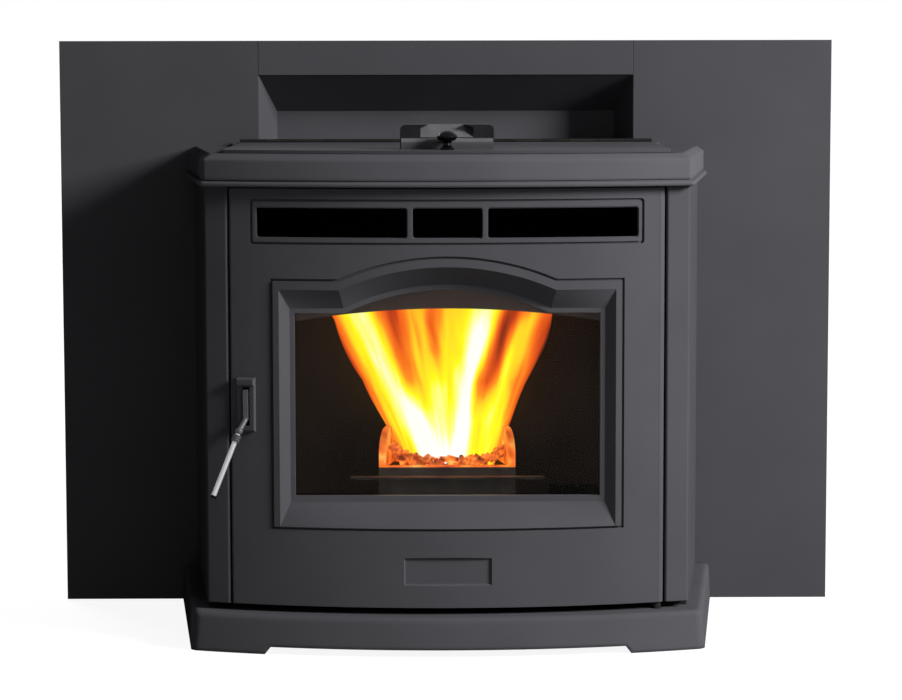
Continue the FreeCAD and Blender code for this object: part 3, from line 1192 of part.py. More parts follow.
column = make_column()
side_panel = make_side_panel()
surround_side = make_surround_side()
export("base_plinth", make_plinth())
export("chassis_pan", make_chassis())
export("levelling_bolts", make_levelling_bolts())
export("front_frame", make_front_frame())
export("right_column", column)
export("left_column", mirrored(column))
export("right_side_panel", side_panel)
export("left_side_panel", mirrored(side_panel))
export("cast_top", make_top())
export("surround_right", surround_side)
export("surround_left", mirrored(surround_side))
export("surround_header", make_surround_top())
export("surround_pocket", make_pocket())
export("rear_casing", make_rear_casing())
export("rear_top_panel", make_rear_top())
export("power_inlet", make_power_inlet())
export("front_door", make_door())
export("door_glass", make_glass())
export("glass_gasket", make_glass_gasket())
export("glass_clips", Part.makeCompound([make_clip(*spot) for spot in clip_spots()]))
export("clip_screws", Part.makeCompound([make_clip_screw(*spot) for spot in clip_spots()]))
export("door_gasket", make_rope())
export("latch_escutcheon", make_escutcheon())
export("latch_lever", make_lever())
export("latch_ferrule", make_ferrule())
export("latch_grip", make_grip())
export("latch_end_cap", make_end_cap())
export("latch_keeper", make_keeper())
export("hinge_pins", make_hinge_pins())
export("hinge_washer", make_hinge_washer())
export("firebox", make_firebox())
export("flame_baffle", make_baffle())
export("heat_exchanger_fins", make_fins())
export("burn_pot", make_burn_pot())
export("igniter", make_igniter())
export("ash_pan", make_ash_pan())
export("hopper_deck", make_deck())
export("deck_gasket", make_deck_gasket())
export("hopper", make_hopper())
export("control_tray", make_tray())
export("temperature_dial", make_dial(DIAL_SPOTS[0]))
export("feed_dial", make_dial(DIAL_SPOTS[1]))
export("hopper_lid", make_lid())
export("lid_hinge", make_lid_hinge())
export("lid_pull", make_pull())
export("lid_knob", make_knob())
export("lid_cam", make_cam())
export("feed_tube", make_feed_tube())
export("auger", make_auger())
export("gear_motor", make_gear_motor())
export("exhaust_duct", make_exhaust_duct())
export("combustion_housing", make_combustion_housing())
export("combustion_impeller", make_impeller())
export("combustion_motor", make_combustion_motor())
export("flue_pipe", make_flue())
export("air_intake_pipe", make_intake())
export("convection_housing", make_convection_housing())
export("convection_wheel", make_convection_wheel())
export("convection_motor", make_convection_motor())
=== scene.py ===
# Looks of the pellet fireplace insert around its CAD frame. Metres; X right, Y to the rear, Z up.
import json
import math
import random

import bpy
from mathutils import Matrix, Vector


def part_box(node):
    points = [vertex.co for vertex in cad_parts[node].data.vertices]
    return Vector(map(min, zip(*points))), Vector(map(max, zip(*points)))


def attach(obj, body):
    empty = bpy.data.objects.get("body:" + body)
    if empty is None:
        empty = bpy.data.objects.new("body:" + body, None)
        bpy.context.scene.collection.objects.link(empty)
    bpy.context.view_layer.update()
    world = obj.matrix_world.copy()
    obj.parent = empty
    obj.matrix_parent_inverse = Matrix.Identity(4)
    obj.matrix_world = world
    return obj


# Camera, fitted to the corners of the surround, the top and the plinth
IMAGE_WIDTH = 902
SENSOR_MM = 36.0
FOCAL_PIXELS = 2825.27
CAMERA_X = -0.01731
CAMERA_Z = 0.73003
CAMERA_BEFORE_SURROUND = 3.83068
CAMERA_PITCH = math.radians(5.775)
CAMERA_YAW = math.radians(0.355)
CAMERA_ROLL = math.radians(-0.101)

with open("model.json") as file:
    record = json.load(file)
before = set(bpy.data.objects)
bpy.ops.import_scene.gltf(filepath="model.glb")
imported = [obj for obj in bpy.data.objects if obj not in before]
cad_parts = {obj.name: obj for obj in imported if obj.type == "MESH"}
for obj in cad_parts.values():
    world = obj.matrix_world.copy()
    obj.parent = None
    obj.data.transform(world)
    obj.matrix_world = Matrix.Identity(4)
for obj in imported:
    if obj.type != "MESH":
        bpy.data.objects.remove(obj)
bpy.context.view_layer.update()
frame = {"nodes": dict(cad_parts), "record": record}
nodes = frame["nodes"]
slot_of = {part["node"]: part["material_slot"] for part in frame["record"]["subparts"]}
surround_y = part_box("surround_header")[0][1]


# Shader nodes

PATCH_RAMP = (0.35, 0.68)
GRAIN_DEPTH = 0.0004
GRAIN_DETAIL = 5.0
WHITE = (1, 1, 1, 1)


def new_material(name):
    """An empty node material and its output socket."""
    material = bpy.data.materials.new(name)
    material.use_nodes = True
    material.node_tree.nodes.clear()
    output = material.node_tree.nodes.new("ShaderNodeOutputMaterial")
    return material, output.inputs["Surface"]


def new_principled(name):
    """A material with one Principled shader: the material, its tree and the shader."""
    material, output = new_material(name)
    tree = material.node_tree
    shader = tree.nodes.new("ShaderNodeBsdfPrincipled")
    tree.links.new(shader.outputs["BSDF"], output)
    return material, tree, shader


def on_object(tree, kind):
    """The object's own coordinates: "Object" gives the place, "Normal" the way a face looks."""
    return tree.nodes.new("ShaderNodeTexCoord").outputs[kind]


def axis_of(tree, vector, axis):
    split = tree.nodes.new("ShaderNodeSeparateXYZ")
    tree.links.new(vector, split.inputs["Vector"])
    return split.outputs[axis]


def noise(tree, scale, detail=3.0):
    """Noise laid out in the object's own coordinates."""
    texture = tree.nodes.new("ShaderNodeTexNoise")
    texture.inputs["Scale"].default_value = scale
    texture.inputs["Detail"].default_value = detail
    tree.links.new(on_object(tree, "Object"), texture.inputs["Vector"])
    return texture.outputs["Fac"]


def spread(tree, factor, low, high, start=0.0, end=1.0):
    """Maps a factor that runs from start to end to the range low to high."""
    node = tree.nodes.new("ShaderNodeMapRange")
    node.inputs["From Min"].default_value = start
    node.inputs["From Max"].default_value = end
    node.inputs["To Min"].default_value = low
    node.inputs["To Max"].default_value = high
    tree.links.new(factor, node.inputs["Value"])
    return node.outputs["Result"]


def number(tree, operation, first, second=0.0):
    """One arithmetic node; either input may be a socket or a plain number."""
    node = tree.nodes.new("ShaderNodeMath")
    node.operation = operation
    for slot, value in zip(node.inputs, (first, second)):
        if isinstance(value, (int, float)):
            slot.default_value = value
        else:
            tree.links.new(value, slot)
    return node.outputs["Value"]


def colour_ramp(tree, factor, stops):
    ramp = tree.nodes.new("ShaderNodeValToRGB")
    while len(ramp.color_ramp.elements) < len(stops):
        ramp.color_ramp.elements.new(0.5)
    for element, (place, colour) in zip(ramp.color_ramp.elements, stops):
        element.position = place
        element.color = (*colour, 1.0)
    tree.links.new(factor, ramp.inputs["Fac"])
    return ramp.outputs["Color"]


def patches(tree, scale, colours, detail=3.0):
    """Two close colours in patches."""
    return colour_ramp(tree, noise(tree, scale, detail), tuple(zip(PATCH_RAMP, colours)))


def blend(tree, factor, first, second):
    """The first colour where the factor is 0, the second where it is 1."""
    mix = tree.nodes.new("ShaderNodeMixRGB")
    tree.links.new(factor, mix.inputs["Fac"])
    tree.links.new(first, mix.inputs["Color1"])
    tree.links.new(second, mix.inputs["Color2"])
    return mix.outputs["Color"]


# Finishes

CAST_COLOURS = ((0.084, 0.082, 0.0915), (0.092, 0.090, 0.1005))
CAP_PAINTED_LIGHT_COLOURS = ((0.108, 0.106, 0.118), (0.118, 0.116, 0.129))
FOOT_COLOURS = ((0.090, 0.088, 0.098), (0.099, 0.097, 0.108))
SHEET_COLOURS = ((0.0735, 0.0720, 0.080), (0.0795, 0.0775, 0.086))
POCKET_PAINTED_LIGHT_COLOURS = ((0.080, 0.078, 0.087), (0.092, 0.090, 0.100))
SATIN_COLOURS = ((0.090, 0.088, 0.096), (0.110, 0.108, 0.118))
# Soot on dark steel, and painted shade inside the casing and along the lid's rear edge
SOOT_AND_SHADE_COLOURS = ((0.014, 0.014, 0.014), (0.026, 0.024, 0.023))
BRICK_COLOURS = ((0.022, 0.016, 0.0145), (0.036, 0.025, 0.021))
BAFFLE_COLOURS = ((0.075, 0.056, 0.050), (0.095, 0.068, 0.058))
ZINC_COLOURS = ((0.42, 0.43, 0.44), (0.55, 0.56, 0.57))
CHROME_COLOURS = ((0.52, 0.52, 0.54), (0.62, 0.62, 0.64))
KNOB_COLOURS = ((0.003, 0.003, 0.003), (0.005, 0.005, 0.005))
DIAL_COLOURS = ((0.015, 0.015, 0.016), (0.022, 0.022, 0.023))
MOTOR_COLOURS = ((0.03, 0.03, 0.032), (0.05, 0.05, 0.054))
GASKET_COLOURS = ((0.30, 0.29, 0.27), (0.46, 0.45, 0.42))
IRON_COLOURS = ((0.030, 0.026, 0.023), (0.070, 0.055, 0.045))
STEEL_COLOURS = ((0.50, 0.50, 0.51), (0.62, 0.62, 0.63))
BRASS_COLOURS = ((0.60, 0.45, 0.18), (0.72, 0.56, 0.26))
INLET_COLOURS = ((0.012, 0.012, 0.013), (0.02, 0.02, 0.021))
SMOKE_COLOURS = ((0.80, 0.78, 0.76), (0.90, 0.89, 0.88))
PULL_BLACK_COLOURS = ((0.012, 0.0117, 0.013), (0.018, 0.0177, 0.020))
# Lighter colour of the pull's painted highlights
PAINTED_HIGHLIGHT_COLOURS = ((0.125, 0.123, 0.132), (0.155, 0.152, 0.163))
PLAIN_GLOSS = 0.5
CAST_GLOSS = 0.04
SHEET_GLOSS = 0.03
LOW_GLOSS = 0.06
BRICK_GLOSS = 0.2
SATIN_GLOSS = 0.3
NO_GLOSS = 0.0
SHARP_EDGE = 0.0008
CAP_EDGE = 0.005
FOOT_EDGE = 0.007
BROAD_PATCH = 9.0
FINE_PATCH = 40.0
ZINC_METALLIC = 0.9
GLASS_IOR = 1.10
# Facing range and bar strength of the pull's painted highlights
HIGHLIGHT_FACING = (0.05, 0.60)
BAR_HIGHLIGHT = 0.45
PULL_BAR_SHARE = 0.42
LID_SHADOW_BAND = 0.008


def surface(name, colours, rough, grain, bump, metallic=0.0, edge=SHARP_EDGE, patch=BROAD_PATCH,
            gloss=PLAIN_GLOSS):
    """Coated or bare metal or plastic: two close colours in patches, uneven roughness, fine grain."""
    material, tree, shader = new_principled(name)
    tree.links.new(patches(tree, patch, colours), shader.inputs["Base Color"])
    tree.links.new(spread(tree, noise(tree, patch * 4.0), *rough), shader.inputs["Roughness"])
    shader.inputs["Metallic"].default_value = metallic
    shader.inputs["Specular IOR Level"].default_value = gloss
    relief = tree.nodes.new("ShaderNodeBump")
    relief.inputs["Strength"].default_value = bump
    relief.inputs["Distance"].default_value = GRAIN_DEPTH
    tree.links.new(noise(tree, grain, GRAIN_DETAIL), relief.inputs["Height"])
    if edge > 0:
        bevel = tree.nodes.new("ShaderNodeBevel")
        bevel.inputs["Radius"].default_value = edge
        tree.links.new(bevel.outputs["Normal"], relief.inputs["Normal"])
    tree.links.new(relief.outputs["Normal"], shader.inputs["Normal"])
    return material


def glass_material():
    """Clear ceramic glass with a smoky tint and faint streaks."""
    material, tree, shader = new_principled("ceramic_glass")
    tree.links.new(patches(tree, 3.0, SMOKE_COLOURS), shader.inputs["Base Color"])
    tree.links.new(spread(tree, noise(tree, 14.0), 0.0, 0.03), shader.inputs["Roughness"])
    shader.inputs["Transmission Weight"].default_value = 1.0
    shader.inputs["IOR"].default_value = GLASS_IOR
    return material


def pull_painted_highlight_material(bar_top):
    """Cast black with painted highlights where the lamps glint on it: faces that look up, and the bar below
    bar_top.
    """
    material, tree, shader = new_principled("black_with_painted_highlight")
    upward = spread(tree, axis_of(tree, on_object(tree, "Normal"), "Z"), 0.0, 1.0, *HIGHLIGHT_FACING)
    below = number(tree, "LESS_THAN", axis_of(tree, on_object(tree, "Object"), "Z"), bar_top)
    # Painted highlight: upward faces, and the bar below bar_top at part strength
    painted_highlight = number(tree, "MAXIMUM", upward, number(tree, "MULTIPLY", below, BAR_HIGHLIGHT))
    colour = blend(tree, painted_highlight, patches(tree, 30.0, PULL_BLACK_COLOURS), patches(tree, 40.0, PAINTED_HIGHLIGHT_COLOURS))
    tree.links.new(colour, shader.inputs["Base Color"])
    tree.links.new(spread(tree, noise(tree, 50.0), 0.26, 0.36), shader.inputs["Roughness"])
    shader.inputs["Specular IOR Level"].default_value = LOW_GLOSS
    return material


def two_finish_material(name, rule, paint_colours, other_colours, other_metallic):
    """Painted sheet with another finish where the rule, given place and facing on the object, says 1."""
    material, tree, shader = new_principled(name)
    other = rule(tree, on_object(tree, "Object"), on_object(tree, "Normal"))
    painted = patches(tree, BROAD_PATCH, paint_colours)
    colour = blend(tree, other, painted, patches(tree, FINE_PATCH, other_colours))
    tree.links.new(colour, shader.inputs["Base Color"])
    tree.links.new(number(tree, "MULTIPLY", other, other_metallic), shader.inputs["Metallic"])
    tree.links.new(spread(tree, noise(tree, 160.0), 0.38, 0.52), shader.inputs["Roughness"])
    shader.inputs["Specular IOR Level"].default_value = SHEET_GLOSS
    return material


def behind(edge_y):
    """Rule that says 1 behind the plane edge_y."""
    def rule(tree, place, facing):
        return number(tree, "GREATER_THAN", axis_of(tree, place, "Y"), edge_y)
    return rule


def outside(low, high):
    """Rule that says 1 on the faces that look away from the middle of a box."""
    def rule(tree, place, facing):
        arm = tree.nodes.new("ShaderNodeVectorMath")
        arm.operation = "SUBTRACT"
        tree.links.new(place, arm.inputs[0])
        arm.inputs[1].default_value = [(a + b) / 2 for a, b in zip(low, high)]
        turn = tree.nodes.new("ShaderNodeVectorMath")
        turn.operation = "DOT_PRODUCT"
        tree.links.new(arm.outputs["Vector"], turn.inputs[0])
        tree.links.new(facing, turn.inputs[1])
        return number(tree, "GREATER_THAN", turn.outputs["Value"], 0.0)
    return rule


SLOT_MATERIALS = {
    "cast_black": surface("cast_black", CAST_COLOURS, rough=(0.36, 0.44), grain=900.0, bump=0.10,
                          gloss=CAST_GLOSS),
    "sheet_black": surface("sheet_black", SHEET_COLOURS, rough=(0.40, 0.48), grain=1400.0, bump=0.05,
                           gloss=SHEET_GLOSS),
    "steel_dark": surface("steel_dark", SOOT_AND_SHADE_COLOURS, rough=(0.60, 0.85), grain=500.0, bump=0.15,
                          gloss=LOW_GLOSS),
    "zinc_sheet": surface("zinc_sheet", ZINC_COLOURS, rough=(0.35, 0.55), grain=300.0, bump=0.05,
                          metallic=ZINC_METALLIC, patch=FINE_PATCH),
    "chrome": surface("chrome", CHROME_COLOURS, rough=(0.20, 0.28), grain=600.0, bump=0.01, metallic=0.45),
    "knob_black": surface("knob_black", KNOB_COLOURS, rough=(0.12, 0.18), grain=300.0, bump=0.01,
                          gloss=LOW_GLOSS),
    "dial_black": surface("dial_black", DIAL_COLOURS, rough=(0.45, 0.60), grain=900.0, bump=0.05),
    "motor_black": surface("motor_black", MOTOR_COLOURS, rough=(0.35, 0.50), grain=500.0, bump=0.05),
    "gasket": surface("gasket", GASKET_COLOURS, rough=(0.85, 0.95), grain=700.0, bump=0.6, edge=0.0),
    "pot_iron": surface("pot_iron", IRON_COLOURS, rough=(0.65, 0.90), grain=400.0, bump=0.3),
    "steel": surface("steel", STEEL_COLOURS, rough=(0.25, 0.40), grain=500.0, bump=0.03, metallic=1.0),
    "brass": surface("brass", BRASS_COLOURS, rough=(0.25, 0.40), grain=400.0, bump=0.03, metallic=1.0),
    "inlet_black": surface("inlet_black", INLET_COLOURS, rough=(0.40, 0.55), grain=600.0, bump=0.04),
    "glass": glass_material(),
}


def paint(obj, material):
    obj.data.materials.clear()
    obj.data.materials.append(material)


for name, obj in nodes.items():
    paint(obj, SLOT_MATERIALS[slot_of[name]])

# Nodes with a finish of their own
# The pocket's sheet is a lighter copy of the sheet black: painted light for the evenly lit back of the
# pocket
paint(nodes["surround_pocket"], surface("pocket_sheet_painted_light", POCKET_PAINTED_LIGHT_COLOURS, rough=(0.42, 0.50), grain=1400.0,
                                        bump=0.05, gloss=SHEET_GLOSS))
paint(nodes["firebox"], surface("fire_brick", BRICK_COLOURS, rough=(0.75, 0.90), grain=300.0, bump=0.3,
                                gloss=BRICK_GLOSS))
paint(nodes["flame_baffle"], surface("hot_plate", BAFFLE_COLOURS, rough=(0.60, 0.80), grain=300.0, bump=0.2,
                                     gloss=BRICK_GLOSS))
for name in ("exhaust_duct", "combustion_housing", "combustion_impeller", "hinge_pins"):
    paint(nodes[name], SLOT_MATERIALS["steel_dark"])
for name in ("left_side_panel", "right_side_panel"):
    paint(nodes[name], surface("side_sheet", SHEET_COLOURS, rough=(0.40, 0.48), grain=1400.0, bump=0.05,
                               gloss=NO_GLOSS))
# The cap's black is a lighter copy of the cast black: painted light standing in for the highlights on its
# fascia
paint(nodes["cast_top"], surface("cast_cap_painted_light", CAP_PAINTED_LIGHT_COLOURS, rough=(0.30, 0.38), grain=900.0, bump=0.10,
                                 edge=CAP_EDGE, gloss=NO_GLOSS))
paint(nodes["base_plinth"], surface("cast_foot", FOOT_COLOURS, rough=(0.30, 0.38), grain=900.0, bump=0.10,
                                    edge=FOOT_EDGE, gloss=NO_GLOSS))
for name in ("left_column", "right_column"):
    paint(nodes[name], surface("cast_matt", CAST_COLOURS, rough=(0.36, 0.44), grain=900.0, bump=0.10,
                               gloss=NO_GLOSS))
for name in ("latch_lever", "latch_ferrule"):
    paint(nodes[name], surface("satin_black", SATIN_COLOURS, rough=(0.28, 0.36), grain=900.0, bump=0.05,
                               gloss=SATIN_GLOSS))
# The pull's lighter upward faces and lower bar are painted highlights
pull_low, pull_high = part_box("lid_pull")
paint(nodes["lid_pull"], pull_painted_highlight_material(pull_low[2] + PULL_BAR_SHARE * (pull_high[2] - pull_low[2])))
# The top panel is black before the pocket's back and zinc behind it
pocket_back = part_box("surround_pocket")[1][1]
paint(nodes["rear_top_panel"], two_finish_material("top_panel", behind(pocket_back), SHEET_COLOURS,
                                                   ZINC_COLOURS, ZINC_METALLIC))
# The casing is zinc outside and dark inside: painted shade for its unlit inside
paint(nodes["rear_casing"], two_finish_material("casing", outside(*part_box("rear_casing")), SOOT_AND_SHADE_COLOURS,
                                                ZINC_COLOURS, ZINC_METALLIC))
# Painted shadow: the hinge barrels along the lid's rear edge are darker than the lid, for the shadow in the
# gap behind it
lid_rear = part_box("hopper_lid")[1][1]
paint(nodes["hopper_lid"], two_finish_material("lid", behind(lid_rear - LID_SHADOW_BAND), SHEET_COLOURS,
                                               SOOT_AND_SHADE_COLOURS, 0.0))


# Fire

def mesh_object(name, vertices, faces, body, material, smooth=True):
    """A piece of the object that rides on a CAD body."""
    mesh = bpy.data.meshes.new(name)
    mesh.from_pydata(vertices, [], faces)
    mesh.update()
    if smooth:
        mesh.polygons.foreach_set("use_smooth", [True] * len(mesh.polygons))
    obj = bpy.data.objects.new(name, mesh)
    bpy.context.scene.collection.objects.link(obj)
    paint(obj, material)
    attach(obj, body)


def closed_rings(rings, foot, tip):
    """Closed skin over a stack of rings of equal length, with a point at each end."""
    sides = len(rings[0])
    vertices = [foot]
    for ring in rings:
        vertices += ring
    vertices.append(tip)
    faces = []
    last = 1 + (len(rings) - 1) * sides
    for side in range(sides):
        after = (side + 1) % sides
        faces.append((0, 1 + after, 1 + side))
        for level in range(len(rings) - 1):
            low = 1 + level * sides
            high = low + sides
            faces.append((low + side, low + after, high + after, high + side))
        faces.append((last + side, last + after, len(vertices) - 1))
    return vertices, faces


pot_low, pot_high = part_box("burn_pot")
baffle_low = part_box("flame_baffle")[0]
FIRE_Y = (pot_low[1] + pot_high[1]) / 2 + 0.010
FIRE_FOOT = pot_low[2] + 0.054
FIRE_TOP = baffle_low[2] + 0.030
FIRE_FOOT_HALF = 0.055
FIRE_SPREAD = 0.43
FIRE_LEAN = -0.07
FIRE_SHIFT = 0.005
FIRE_BULGE = 0.05
FIRE_BULGE_POWER = 1.2
FIRE_DEEP_EDGE = 0.020
FIRE_DEEP_MIDDLE = 0.016
FIRE_FOOT_POINT = 0.003
FIRE_TIP_POINT = 0.012
FIRE_SIDES = 48
FIRE_LEVELS = 16
FIRE_WAVES = 4
TONGUES = 7
TONGUE_LEAN = 0.88
TONGUE_RISE = 0.10
TONGUE_HALF = 0.020
TONGUE_LEVELS = 12
TONGUE_SIDES = 12


def fire_half(z):
    return FIRE_FOOT_HALF + FIRE_SPREAD * (z - FIRE_FOOT)


def fire_middle(z):
    return FIRE_SHIFT + FIRE_LEAN * (z - FIRE_FOOT)


FLAME_STOPS = ((0.0, (0.12, 0.018, 0.006)), (0.14, (0.50, 0.050, 0.008)), (0.28, (0.90, 0.13, 0.010)),
               (0.42, (1.0, 0.30, 0.015)), (0.55, (1.0, 0.66, 0.02)), (0.70, (1.0, 0.96, 0.01)),
               (0.84, (1.0, 1.0, 0.30)), (0.96, (1.0, 1.0, 0.95)))
# Bright tongues: place at the foot and at the top as shares of the half width, width, strength
FLAME_TONGUES = ((-0.36, -0.82, 0.23, 0.40), (-0.10, -0.14, 0.16, 0.14), (0.10, 0.50, 0.16, 0.40),
                 (0.62, 0.92, 0.16, 0.08))
# Dark gaps: the same places and width, the share of the height where the gap starts, depth
FLAME_GAPS = ((-0.42, -0.40, 0.17, 0.28, 0.38), (-0.04, -0.04, 0.11, 0.46, 0.34),
              (0.22, 0.74, 0.14, 0.28, 0.52))
FLAME_FOOT_HEAT = 0.74
FLAME_COOLING = -0.26
FLAME_EDGE_COOLING = -0.42
FLAME_EDGE_POWER = 6.0
FLAME_GAP_RAMP = 0.22
FLAME_WANDER = 0.30
FLAME_STRENGTH = 1.25
STREAK_SLICE = 3.7
STREAK_DISTORTION = 0.5


def flame_material():
    """Glow in streaks that fan out with the flame: hot low in the middle, red along the edges."""
    material, output = new_material("flame")
    tree = material.node_tree
    place = on_object(tree, "Object")
    rise = number(tree, "SUBTRACT", axis_of(tree, place, "Z"), FIRE_FOOT)
    half = number(tree, "ADD", number(tree, "MULTIPLY", rise, FIRE_SPREAD), FIRE_FOOT_HALF)
    middle = number(tree, "ADD", number(tree, "MULTIPLY", rise, FIRE_LEAN), FIRE_SHIFT)
    across = number(tree, "DIVIDE", number(tree, "SUBTRACT", axis_of(tree, place, "X"), middle), half)
    height = number(tree, "DIVIDE", rise, FIRE_TOP - FIRE_FOOT)

    def streaks(per_width, per_height, detail):
        """Noise about 0, drawn out along the flame."""
        join = tree.nodes.new("ShaderNodeCombineXYZ")
        tree.links.new(number(tree, "MULTIPLY", across, per_width), join.inputs["X"])
        tree.links.new(number(tree, "MULTIPLY", height, per_height), join.inputs["Z"])
        join.inputs["Y"].default_value = STREAK_SLICE
        texture = tree.nodes.new("ShaderNodeTexNoise")
        texture.inputs["Scale"].default_value = 1.0
        texture.inputs["Detail"].default_value = detail
        texture.inputs["Distortion"].default_value = STREAK_DISTORTION
        tree.links.new(join.outputs["Vector"], texture.inputs["Vector"])
        return number(tree, "SUBTRACT", texture.outputs["Fac"], 0.5)

    swayed = number(tree, "ADD", across, number(tree, "MULTIPLY", streaks(1.7, 1.6, 1.0), FLAME_WANDER))

    def band(foot, top, width):
        """1 along a line that climbs from one share of the width to another, 0 away from it."""
        line = number(tree, "ADD", number(tree, "MULTIPLY", height, top - foot), foot)
        off = number(tree, "DIVIDE", number(tree, "SUBTRACT", swayed, line), width)
        fall = number(tree, "MULTIPLY", number(tree, "MULTIPLY", off, off), -1.0)
        return number(tree, "POWER", math.e, fall)

    heat = number(tree, "ADD", number(tree, "MULTIPLY", height, FLAME_COOLING), FLAME_FOOT_HEAT)
    for foot, top, width, strength in FLAME_TONGUES:
        heat = number(tree, "ADD", heat, number(tree, "MULTIPLY", band(foot, top, width), strength))
    for foot, top, width, start, depth in FLAME_GAPS:
        opening = spread(tree, height, 0.0, -depth, start, start + FLAME_GAP_RAMP)
        heat = number(tree, "ADD", heat, number(tree, "MULTIPLY", band(foot, top, width), opening))
    edge = number(tree, "POWER", number(tree, "ABSOLUTE", across), FLAME_EDGE_POWER)
    heat = number(tree, "ADD", heat, number(tree, "MULTIPLY", edge, FLAME_EDGE_COOLING))
    heat = number(tree, "ADD", heat, number(tree, "MULTIPLY", streaks(4.2, 1.6, 1.0), 0.35))
    heat = number(tree, "ADD", heat, number(tree, "MULTIPLY", streaks(10.0, 2.4, 2.0), 0.40))
    glow = tree.nodes.new("ShaderNodeEmission")
    glow.inputs["Strength"].default_value = FLAME_STRENGTH
    tree.links.new(colour_ramp(tree, heat, FLAME_STOPS), glow.inputs["Color"])
    tree.links.new(glow.outputs["Emission"], output)
    return material


def flame_core(chance):
    """Skin of the flame's body, a fan of uneven rings."""
    waves = [(chance.uniform(0.008, 0.018), chance.uniform(2.0, 5.0), chance.uniform(0, 6.3))
             for _ in range(FIRE_WAVES)]
    rings = []
    for level in range(FIRE_LEVELS):
        share = level / FIRE_LEVELS
        z = FIRE_FOOT + (FIRE_TOP - FIRE_FOOT) * level / (FIRE_LEVELS - 1)
        deep = FIRE_DEEP_EDGE + FIRE_DEEP_MIDDLE * math.sin(math.pi * min(1.0, 0.2 + 0.8 * share))
        bulge = 1 + FIRE_BULGE * math.sin(math.pi * share ** FIRE_BULGE_POWER)
        ring = []
        for side in range(FIRE_SIDES):
            angle = 2 * math.pi * side / FIRE_SIDES
            wave = 1 + sum(size * math.sin(pace * math.pi * share + start + angle)
                           for size, pace, start in waves)
            reach = fire_half(z) * wave * math.cos(angle)
            if reach > 0:
                reach *= bulge
            ring.append((fire_middle(z) + reach, FIRE_Y + deep * math.sin(angle), z))
        rings.append(ring)
    top = FIRE_TOP + FIRE_TIP_POINT
    return closed_rings(rings, (fire_middle(FIRE_FOOT), FIRE_Y, FIRE_FOOT - FIRE_FOOT_POINT),
                        (fire_middle(top), FIRE_Y, top))


def flame_tongue(lean, tip_z):
    """Skin of one slim tongue along the fan; lean is its share of the half width."""
    foot_z = FIRE_FOOT + TONGUE_RISE
    rings = []
    for level in range(1, TONGUE_LEVELS):
        share = level / TONGUE_LEVELS
        z = foot_z + (tip_z - foot_z) * share
        wide = TONGUE_HALF * math.sin(math.pi * share ** 0.7) ** 0.8
        middle = fire_middle(z) + lean * fire_half(z)
        ring = []
        for side in range(TONGUE_SIDES):
            angle = 2 * math.pi * side / TONGUE_SIDES
            ring.append((middle + wide * math.cos(angle), FIRE_Y + wide * math.sin(angle), z))
        rings.append(ring)
    return closed_rings(rings, (fire_middle(foot_z) + lean * fire_half(foot_z), FIRE_Y, foot_z),
                        (fire_middle(tip_z) + lean * fire_half(tip_z), FIRE_Y, tip_z))


def build_flame():
    """Flame that fans out from the pot and parts into tongues behind the arched baffle."""
    chance = random.Random(4)
    vertices, faces = flame_core(chance)
    for n in range(TONGUES):
        lean = TONGUE_LEAN * (2 * n / (TONGUES - 1) - 1)
        more, skins = flame_tongue(lean, FIRE_TOP + chance.uniform(0.008, 0.026))
        start = len(vertices)
        vertices += more
        faces += [tuple(start + index for index in face) for face in skins]
    mesh_object("flame", vertices, faces, "insert", flame_material())


EMBER_COLOURS = ((0.05, 0.02, 0.01), (0.9, 0.25, 0.04))
EMBER_STOPS = ((0.30, (0.06, 0.012, 0.004)), (0.45, (0.45, 0.06, 0.01)), (0.58, (0.95, 0.22, 0.03)),
               (0.72, (1.0, 0.62, 0.12)))
EMBER_STRENGTH = 0.9
PELLETS = 380
PELLET_HALF = 0.008
PELLET_RADIUS = 0.0032
PELLET_SIDES = 7
PELLET_TILT = 0.5
BED_FRONT = pot_low[1] + 0.032
BED_REAR = pot_high[1] - 0.022
BED_HALF_FRONT = 0.0885
BED_HALF_REAR = 0.068
BED_INSET = 0.012
BED_Z = pot_low[2] + 0.0625
BED_FALL = 0.0125
BED_HEAP = 0.011
BED_CORNERS = 0.018


def ember_material():
    """Coals: dark crust with glowing seams."""
    material, tree, shader = new_principled("embers")
    shader.inputs["Roughness"].default_value = 0.9
    tree.links.new(patches(tree, 70.0, EMBER_COLOURS, detail=4.0), shader.inputs["Base Color"])
    glow = colour_ramp(tree, noise(tree, 70.0, 4.0), EMBER_STOPS)
    tree.links.new(glow, shader.inputs["Emission Color"])
    shader.inputs["Emission Strength"].default_value = EMBER_STRENGTH
    return material


